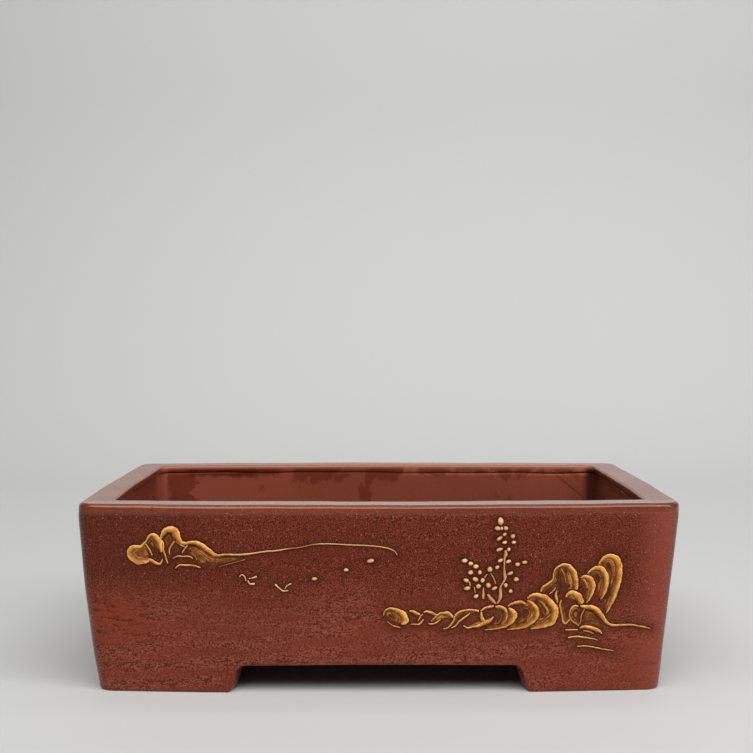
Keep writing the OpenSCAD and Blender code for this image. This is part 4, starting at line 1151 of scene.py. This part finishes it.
class Net:
    """A material's node tree. v is the place in metres; x, y and z are in millimetres."""

    def __init__(self, name):
        self.mat = bpy.data.materials.new(name)
        self.mat.use_nodes = True
        self.tree = self.mat.node_tree
        self.tree.nodes.clear()
        self.v = Value(self, self.node("ShaderNodeTexCoord").outputs["Object"])
        parts = self.node("ShaderNodeSeparateXYZ", Vector=self.v).outputs
        self.x, self.y, self.z = (Value(self, part) * (1 / MM) for part in parts)

    def node(self, kind, props=None, **inputs):
        n = self.tree.nodes.new(kind)
        for key, value in (props or {}).items():
            setattr(n, key, value)
        for key, value in inputs.items():
            self.put(n.inputs[key.replace("_", " ")], value)
        return n

    def put(self, socket, value):
        """Sets a socket to a value, the name of a tone or a number."""
        if isinstance(value, Value):
            self.tree.links.new(value.socket, socket)
        else:
            socket.default_value = linear(*TONES[value]) if isinstance(value, str) else value

    def first(self, kind, props=None, **inputs):
        return Value(self, self.node(kind, props, **inputs).outputs[0])

    def math(self, op, a, b=0.0, clamp=False):
        n = self.node("ShaderNodeMath", {"operation": op, "use_clamp": clamp})
        self.put(n.inputs[0], a)
        self.put(n.inputs[1], b)
        return Value(self, n.outputs[0])

    def ramp(self, value, lo, hi, a=0.0, b=1.0, smooth=True):
        """From a where the value is lo to b where it is hi."""
        return self.first("ShaderNodeMapRange", {"interpolation_type": "SMOOTHSTEP" if smooth else "LINEAR"},
                          Value=value, From_Min=lo, From_Max=hi, To_Min=a, To_Max=b)

    def window(self, value, rise, full, fade, gone):
        """1 between full and fade, 0 outside rise and gone."""
        return self.ramp(value, rise, full) * self.ramp(value, gone, fade)

    def mix(self, amount, under, over):
        n = self.tree.nodes.new("ShaderNodeMix")
        n.data_type = "RGBA"
        for socket, value in ((0, amount), (6, under), (7, over)):
            self.put(n.inputs[socket], value)
        return Value(self, n.outputs[2])

    def over(self, colour, tone, amount):
        """The colour with a tone laid over it by an amount."""
        return self.mix(amount, colour, tone)

    def noise(self, vector, scale, detail=3.0, rough=0.5, distort=0.0):
        return self.first("ShaderNodeTexNoise", Vector=vector, Scale=scale, Detail=detail,
                          Roughness=rough, Distortion=distort)

    def cells(self, scale):
        """Distance to the nearest scattered point, and a random number for that point."""
        n = self.node("ShaderNodeTexVoronoi", Vector=self.v, Scale=scale)
        colour = Value(self, n.outputs["Color"])
        return Value(self, n.outputs["Distance"]), self.first("ShaderNodeSeparateColor", Color=colour)

    def attribute(self, name):
        n = self.node("ShaderNodeAttribute", {"attribute_type": "GEOMETRY", "attribute_name": name})
        return Value(self, n.outputs["Fac"])

    def vector(self, x, y, z):
        return self.first("ShaderNodeCombineXYZ", X=x, Y=y, Z=z)

    def scaled(self, vector, scale):
        return self.first("ShaderNodeMapping", Vector=vector, Scale=scale)

    def bump(self, height, strength, distance, **normal):
        return self.first("ShaderNodeBump", Height=height, Strength=strength, Distance=distance, **normal)

    def finish(self, colour, roughness, normal, tint=(1, 1, 1, 1), specular=0.5, coat=0.0):
        shader = self.node("ShaderNodeBsdfPrincipled", Base_Color=colour, Roughness=roughness, Normal=normal,
                           Specular_IOR_Level=specular, Specular_Tint=tint, Coat_Weight=coat,
                           Coat_Roughness=0.16)
        out = self.tree.nodes.new("ShaderNodeOutputMaterial")
        self.tree.links.new(shader.outputs[0], out.inputs[0])
        return self.mat


class ClayNet(Net):
    """The clay's net, with the values that several of its layers share."""

    def __init__(self):
        super().__init__("red_brown_clay_burnished")
        v = self.v
        self.inner = self.attribute("inner")
        self.outside = self.ramp(self.inner, 0.0, 1.0, 1.0, 0.0, smooth=False)
        self.inside_wall = self.ramp(self.inner, 0.75, 1.0) * self.ramp(self.z, 94.2, 93.0)
        self.big = self.noise(v, 9.0, 2.0, 0.5, 0.4)
        self.mid = self.noise(v, 38.0, 3.0, 0.55)
        self.cloud = self.noise(v, 55.0, 4.0, 0.6, 0.6)
        self.mottle = self.noise(v, 420.0, 2.0, 0.6)
        # the potter's passes rise slightly to the right; dashes and grain are drawn out along them
        turned = self.first("ShaderNodeVectorRotate", {"rotation_type": "Y_AXIS"}, Vector=v, Angle=0.07)
        self.passes = self.noise(self.scaled(turned, (20, 20, 210)), 1.0, 3.0, 0.6, 0.25)
        self.dashes = self.noise(self.scaled(turned, (230, 230, 780)), 1.0, 2.0, 0.6, 0.3)
        coarse = self.noise(self.scaled(turned, (1150, 1150, 1550)), 1.0, 2.0, 0.6)
        fine = self.noise(v, 1750.0, 1.5, 0.6)
        self.upper = self.ramp(self.z + (self.big - 0.5) * 30, 34, 64)
        self.grain = coarse + (fine - coarse) * self.upper
        pits = self.ramp(self.dashes, 0.52, 0.64) * self.ramp(self.passes, 0.56, 0.42)
        self.pit = pits * self.ramp(self.upper, 0.0, 1.0, 1.0, 0.25) * self.outside


def outside_clay(c):
    """Sandy grain, closed skin where the passes or rubbing smoothed it, and open pits."""
    x, z, upper = c.x, c.z, c.upper
    sandy = c.mix(c.ramp(c.grain - upper * 0.03, 0.38, 0.60), c.mix(upper, "body", "body_high"),
                  c.mix(upper, "sand", "sand_high"))
    skin = c.mix(c.ramp(c.big, 0.40, 0.62), "skin", "skin_cool")
    skin = c.over(skin, "skin_mottle", c.ramp(c.mid, 0.42, 0.68) * 0.45)
    skin = c.over(skin, "skin_high", upper * 0.7)
    # two lighter, smoother patches, at middle height on the left end and low on the right end
    left_patch = c.ramp(x, -108, -124) * c.window(z, 20, 30, 44, 54)
    right_patch = c.ramp(x, 112, 128, 0.0, 0.6) * c.ramp(z, 34, 22)
    patch = c.math("MAXIMUM", left_patch, right_patch) * c.ramp(c.mid, 0.35, 0.60, 0.5, 0.9)
    skin = c.over(skin, "lighter_patch", patch)
    rough = c.math("ADD", c.ramp(c.passes, 0.60, 0.44, 0.35, 1.0), upper * 0.3, clamp=True)
    col = c.mix(rough * (1 - patch) * c.outside * 0.9, skin, sandy)
    col = c.over(col, "pit", c.pit * 0.75)
    # browner towards the left end, a painted sheen just under the rim's rounded edge, a painted highlight
    # along the right corner
    col = c.over(col, "left_brown", c.ramp(x, -60, -130) * upper * c.outside * 0.38)
    # painted sheen: the highlight of the rim's rounded edge, fading down the wall
    tint = c.ramp(z, 89.5, 93.5, smooth=False) * c.ramp(c.mottle, 0.2, 0.6, 0.6, 1.0)
    col = c.over(col, "painted_sheen_under_rim", tint * 0.75)
    # painted highlight down the rounded right corner
    return c.over(col, "painted_highlight_right_corner", c.ramp(x, 122, 141) * c.outside * c.ramp(z, 94.5, 88.0) * 0.6)


def inside_clay(c):
    """Closed and smooth, and painted lighter than the outside for the light inside; clouded, with painted
    shade near the crease and the left corner, a painted highlight on the left corner, and painted shade at
    its right end.
    """
    x, y, z, cloud = c.x, c.y, c.z, c.cloud
    # cloud mottling of the clay, pushed darker near the crease and the left corner as painted shade
    cloudy_and_shaded = cloud + c.ramp(z, 82, 92, smooth=False) * 0.14 + c.ramp(x, -112, -119) * 0.22
    # the inside clay is painted lighter than the outside, standing in for the light inside the pot
    col = c.mix(c.ramp(c.big, 0.35, 0.65), "inside", "inside_cool")
    col = c.over(col, "cloud", c.ramp(cloudy_and_shaded, 0.59, 0.67) * 0.7)
    # painted shade in the crease at the left, a painted highlight on the left corner and one slanting tool
    # mark at the right, drawn only as its groove's painted shade
    at_back = c.ramp(y, 60, 70)
    # painted shade under the left part of the back rim
    painted_crease_shade = c.window(x, -122, -114, -85, -55) * at_back * c.ramp(z + cloud * 8, 90.5, 93.5)
    col = c.over(col, "painted_crease_shade", painted_crease_shade * 0.75)
    # painted highlight on the back end of the left inner wall, at the corner
    corner = c.ramp(y, 58, 66) * c.ramp(x, -130.0, -131.5) * c.ramp(cloud, 0.30, 0.50, 0.45, 1.0)
    col = c.over(col, "painted_highlight_left_corner", corner * 0.8)
    # a real tool mark, drawn only as the painted shade of its groove
    off_mark = abs((x - 112.8) * 0.634 + (z - 88.0) * 0.773) + c.mid * 1.2
    tool_mark_groove = c.ramp(off_mark, 1.4, 0.6) * at_back * c.window(x, 108.5, 112.5, 126.5, 129.0)
    col = c.over(col, "tool_mark_groove_shade", tool_mark_groove * 0.6)
    # painted light over the crease towards the right, hiding its shadow line
    closed = c.ramp(z, 88.0, 89.3) * c.ramp(x, -10, 30) * at_back
    col = c.over(col, "painted_light_in_crease", closed * c.ramp(cloud, 0.40, 0.55, 0.7, 0.15))
    # painted shade on the right inner wall, which faces away from the light
    return c.over(col, "painted_shade_right_end", c.ramp(x, 127, 132))


def specks_and_underside(c, col):
    """Painted light on the lip of the back rim, specks and glints in the sand, and painted shade underneath.
    """
    # painted light on the back rim's inner lip
    lit_back_lip = c.ramp(c.inner, 0.70, 0.90) * c.ramp(c.z, 92.0, 94.5) * c.ramp(c.y, 68, 76)
    col = c.over(col, "painted_light_back_rim_lip", lit_back_lip * 0.75)
    distance, luck = c.cells(420.0)
    col = c.over(col, "speck", c.ramp(distance, 0.16, 0.08) * c.ramp(luck, 0.95, 0.97) * 0.6)
    distance, luck = c.cells(900.0)
    glint = c.ramp(distance, 0.32, 0.16) * c.ramp(luck, 0.90, 0.93) * c.outside
    col = c.over(col, "glint", glint * c.ramp(c.upper, 0.0, 1.0, 0.15, 0.6))
    # painted shade under the pot: the underside darkened to dim the gap under the apron
    under = c.window(c.z, 13.0, 13.7, 14.2, 15.0) * c.ramp(abs(c.y), 86.5, 83.0)
    return c.over(col, "underside", under * c.ramp(abs(c.x), 140, 136) * 0.85)


def drawing_on_clay(c, col, wash):
    """The stain, thin slip and painted shade halo of the drawing, from what paint() stored."""
    halo, ochre, lane = (c.attribute(name) for name in ("halo", "ochre", "lane"))
    stain = c.ramp(lane, 8.0, 0.5) * c.ramp(c.y, -80, -86) * c.ramp(c.z, 14.3, 16.0)
    stain = stain * c.ramp(c.x, -20, 30, 0.2, 0.5)
    col = c.over(col, "stain", stain * c.ramp(c.mid, 0.3, 0.65, 1.0, 0.6))
    col = c.over(col, "wash", wash * c.ramp(c.grain, 0.35, 0.6, 0.9, 0.6))
    glow = c.ramp(ochre, 0.45, 1.0) * c.ramp(c.mottle, 0.36, 0.60, 0.2, 1.0)
    col = c.over(col, "wash_glow", glow * wash * 0.6)
    brush = c.noise(c.vector(lane * 1.9, c.x * 0.09, c.z * 0.09), 1.0, 3.0, 0.6)
    lines = c.ramp(brush, 0.50, 0.60) * c.ramp(ochre, 0.0, 0.6, smooth=False)
    col = c.over(col, "wash_lines", lines * c.ramp(c.mottle, 0.35, 0.6, 0.25, 1.0) * wash * 0.85)
    # painted shade round the strokes, where the wash leaves the wall bare
    return c.over(col, "painted_stroke_shade", halo * (1 - wash) * 0.95)


def clay_material():
    c = ClayNet()
    wash = c.attribute("wash")
    col = c.mix(c.inside_wall, outside_clay(c), inside_clay(c))
    col = drawing_on_clay(c, specks_and_underside(c, col), wash)
    rough = (c.grain - 0.5) * 0.3 + 0.27 + (c.mid - 0.5) * 0.15 + wash * 0.1
    # relief: the grain outside and on the front rim's top, and the potter's passes everywhere
    front_rim = c.ramp(c.inner, 0.95, 0.75) * c.ramp(c.y, -83.5, -79.0)
    height = (c.grain * 0.9 - c.pit * 0.5) * c.math("MAXIMUM", c.outside, front_rim * 1.7)
    normal = c.bump(height, 0.5, 0.12 * MM)
    normal = c.bump(c.passes, 0.35, 0.25 * MM, Normal=normal)
    # burnished on the rim and inside, except in the crease
    coat = c.math("MAXIMUM", c.inner, c.ramp(c.z, 88.0, 93.0))
    coat = coat * c.ramp(c.y, -76, -84, c.inside_wall * 0.4 + 0.30, 0.75)
    coat = coat * (1 - c.ramp(c.z, 86.0, 88.0) * c.inside_wall * 0.95)
    return c.finish(col, rough, normal, (1.0, 0.30, 0.20, 1), 0.4, coat)


def gold_colour(net, across, blot, mottle, streak):
    """Gold slip worn down to brown on the inner side of each stroke."""
    x, z = net.x, net.z
    worn = across + (mottle - 0.5) * 1.5 + (streak - 0.5) * 1.6
    col = net.mix(net.ramp(blot, 0.42, 0.58), "gold_light", "gold")
    col = net.over(col, "gold_deep", net.ramp(worn, 0.40, -0.35) * 0.75)
    col = net.over(col, "gold_brown", net.ramp(worn, -0.10, -0.90) * 0.80)
    col = net.over(col, "gold_deep", net.ramp(streak, 0.50, 0.60) * 0.65)
    col = net.over(col, "gold_glint", net.ramp(streak, 0.44, 0.36) * 0.5)
    col = net.over(col, "gold_brown", net.ramp(mottle, 0.56, 0.68) * 0.45)
    col = net.over(col, "gold_edge", net.ramp(across, 0.50, 0.80) * net.ramp(mottle, 0.62, 0.45, 0.1, 0.7))
    # the far shore line: pale, and worn thin for a short way
    far = net.ramp(z, 55, 60) * net.ramp(x, 20, 10)
    col = net.over(col, "far_shore", far * net.ramp(x, -75, -66) * 0.65)
    col = net.over(col, "worn_thin", far * net.ramp(abs(x + 38), 11, 4) * 0.8)
    # the tree's trunk and twigs are paler than the rocks
    tree = net.ramp(z, 44.5, 47.0) * net.window(x, 4, 8, 62, 66)
    col = net.over(col, "twig", tree * net.ramp(mottle, 0.35, 0.6, 0.4, 0.75))
    # the dull ripple under the left slope
    ripple = net.window(x, -83, -80, -64.5, -62.5) * net.window(z, 58, 60, 67.5, 68.5)
    return net.over(col, "low_edge", ripple * 0.8)


def slip_material(name, pale):
    net = Net(name)
    across, along = net.attribute("across"), net.attribute("along")
    blot = net.noise(net.v, 230.0, 3.0, 0.6)
    mottle = net.noise(net.v, 520.0, 3.0, 0.65)
    grain = net.noise(net.v, 1500.0, 2.0, 0.6)
    streak = net.noise(net.vector(across * 4.6, along * 0.16, 0.0), 1.0, 4.0, 0.65)
    if pale:
        col = net.mix(net.ramp(blot, 0.4, 0.62) * 0.8, "pale_light", "pale")
        col = net.over(col, "pale_deep", net.ramp(abs(across), 0.45, 1.0) * 0.85)
    else:
        col = gold_colour(net, across, blot, mottle, streak)
    col = net.over(col, "pale_deep" if pale else "gold_deep", net.ramp(grain, 0.52, 0.68) * 0.35)
    normal = net.bump(streak + mottle * 0.5, 0.4, 0.18 * MM)
    normal = net.bump(grain, 0.3, 0.08 * MM, Normal=normal)
    return net.finish(col, (mottle - 0.5) * 0.3 + 0.45, normal, (1.0, 0.8, 0.5, 1), 0.35)


def stage_material():
    net = Net("paper_sweep")
    col = net.mix(net.ramp(net.x, -500, 500), PAPER_LEFT, PAPER_RIGHT)
    col = net.mix(net.ramp(net.noise(net.v, 1.3, 2.0, 0.5), 0.35, 0.7) * 0.12, col, PAPER_PATCH)
    return net.finish(col, 0.75, net.bump(net.noise(net.v, 700.0, 2.0, 0.5), 0.12, 0.2 * MM), specular=0.3)


# ---- Pieces into the scene ----
clay = clay_material()
gold = slip_material("gold_slip_brushed", False)
pale_slip = slip_material("pale_slip_dabbed", True)

lines, seed = {}, 0                 # smooth path of every stroke; each stroke has its own seed
for group, slot in ((GOLD, "gold_slip"), (PALE, "pale_slip")):
    for name, paths in group.items():
        parts = []
        for i, path in enumerate(paths):
            seed += 1
            path = [(x, z, width * WIDER.get(name, 1)) for x, z, width in path]
            part, lines[(name, i)] = ribbon(path, seed, -1 if (name, i) in BACKWARDS else 1)
            parts.append(part)
        golden = group is GOLD or name in ("tree_trunk", "tree_branches")
        slip_piece(name, parts, gold if golden else pale_slip, slot)
for name, group in DABS.items():
    slip_piece(name, [dab(*d, seed=100 + i) for i, d in enumerate(group)], pale_slip, "pale_slip")

paint(clay_pieces[0][0], lines, [d for group in DABS.values() for d in group])
for me, node in clay_pieces:
    add_piece(me.name, me, node, "red_brown_clay", clay)

# ---- Studio in metres: a paper sweep, soft light from above, the camera ----
SWEEP_X, SWEEP_FRONT, SWEEP_BACK, SWEEP_R, SWEEP_TOP = 3.0, -3.0, 0.75, 0.55, 3.5
profile = [(SWEEP_FRONT, 0.0), (SWEEP_BACK, 0.0)]
for g in np.linspace(0, math.pi / 2, 16)[1:]:
    profile.append((SWEEP_BACK + SWEEP_R * math.sin(g), SWEEP_R * (1 - math.cos(g))))
profile.append((SWEEP_BACK + SWEEP_R, SWEEP_TOP))
across = np.linspace(-SWEEP_X, SWEEP_X, 9)
me = bpy.data.meshes.new("sweep")
me.from_pydata([(x, y, z) for y, z in profile for x in across], [], grid_faces(len(profile), len(across)))
smooth(me)
me.materials.append(stage_material())
add_object("sweep", me)


def area_light(name, place, target, size, power):
    """A rectangular light, size[0] by size[1], that faces its target."""
    data = bpy.data.lights.new(name, "AREA")
    data.shape, data.size, data.size_y, data.energy = "RECTANGLE", size[0], size[1], power
    ob = add_object(name, data)
    ob.location = place
    ob.rotation_euler = (Vector(target) - Vector(place)).to_track_quat("-Z", "Y").to_euler()
    return data


area_light("front_softbox", (0.32, -1.00, 1.20), (0, -0.05, 0.03), (2.2, 0.95), 26.5)
area_light("left_fill", (-0.75, -0.65, 1.35), (-0.1, 0.0, 0), (0.9, 0.8), 5.5)
backdrop = area_light("backdrop_wash", (0.40, 0.40, 1.9), (0.30, 1.2, 0.35), (2.4, 0.5), 7.4)
backdrop.spread = math.radians(105)
area_light("corner_strip", (0.95, -0.55, 0.42), (0.0, 0.0, 0.05), (0.25, 0.4), 1.4)

world = bpy.data.worlds.new("studio")
world.use_nodes = True
world.node_tree.nodes["Background"].inputs["Color"].default_value = (0.80, 0.81, 0.80, 1)
world.node_tree.nodes["Background"].inputs["Strength"].default_value = 0.03
scene = bpy.context.scene
scene.world = world
scene.view_settings.view_transform = "Standard"

lens = bpy.data.cameras.new("camera")
lens.sensor_width, lens.lens = 36.0, 60.865
lens.clip_start, lens.clip_end = 0.01, 20.0
camera = add_object("camera", lens)
camera.location = (-0.00452, -0.71353, 0.18316)
camera.rotation_euler = (math.radians(87.647), math.radians(0.039), math.radians(-0.285))
scene.camera = camera
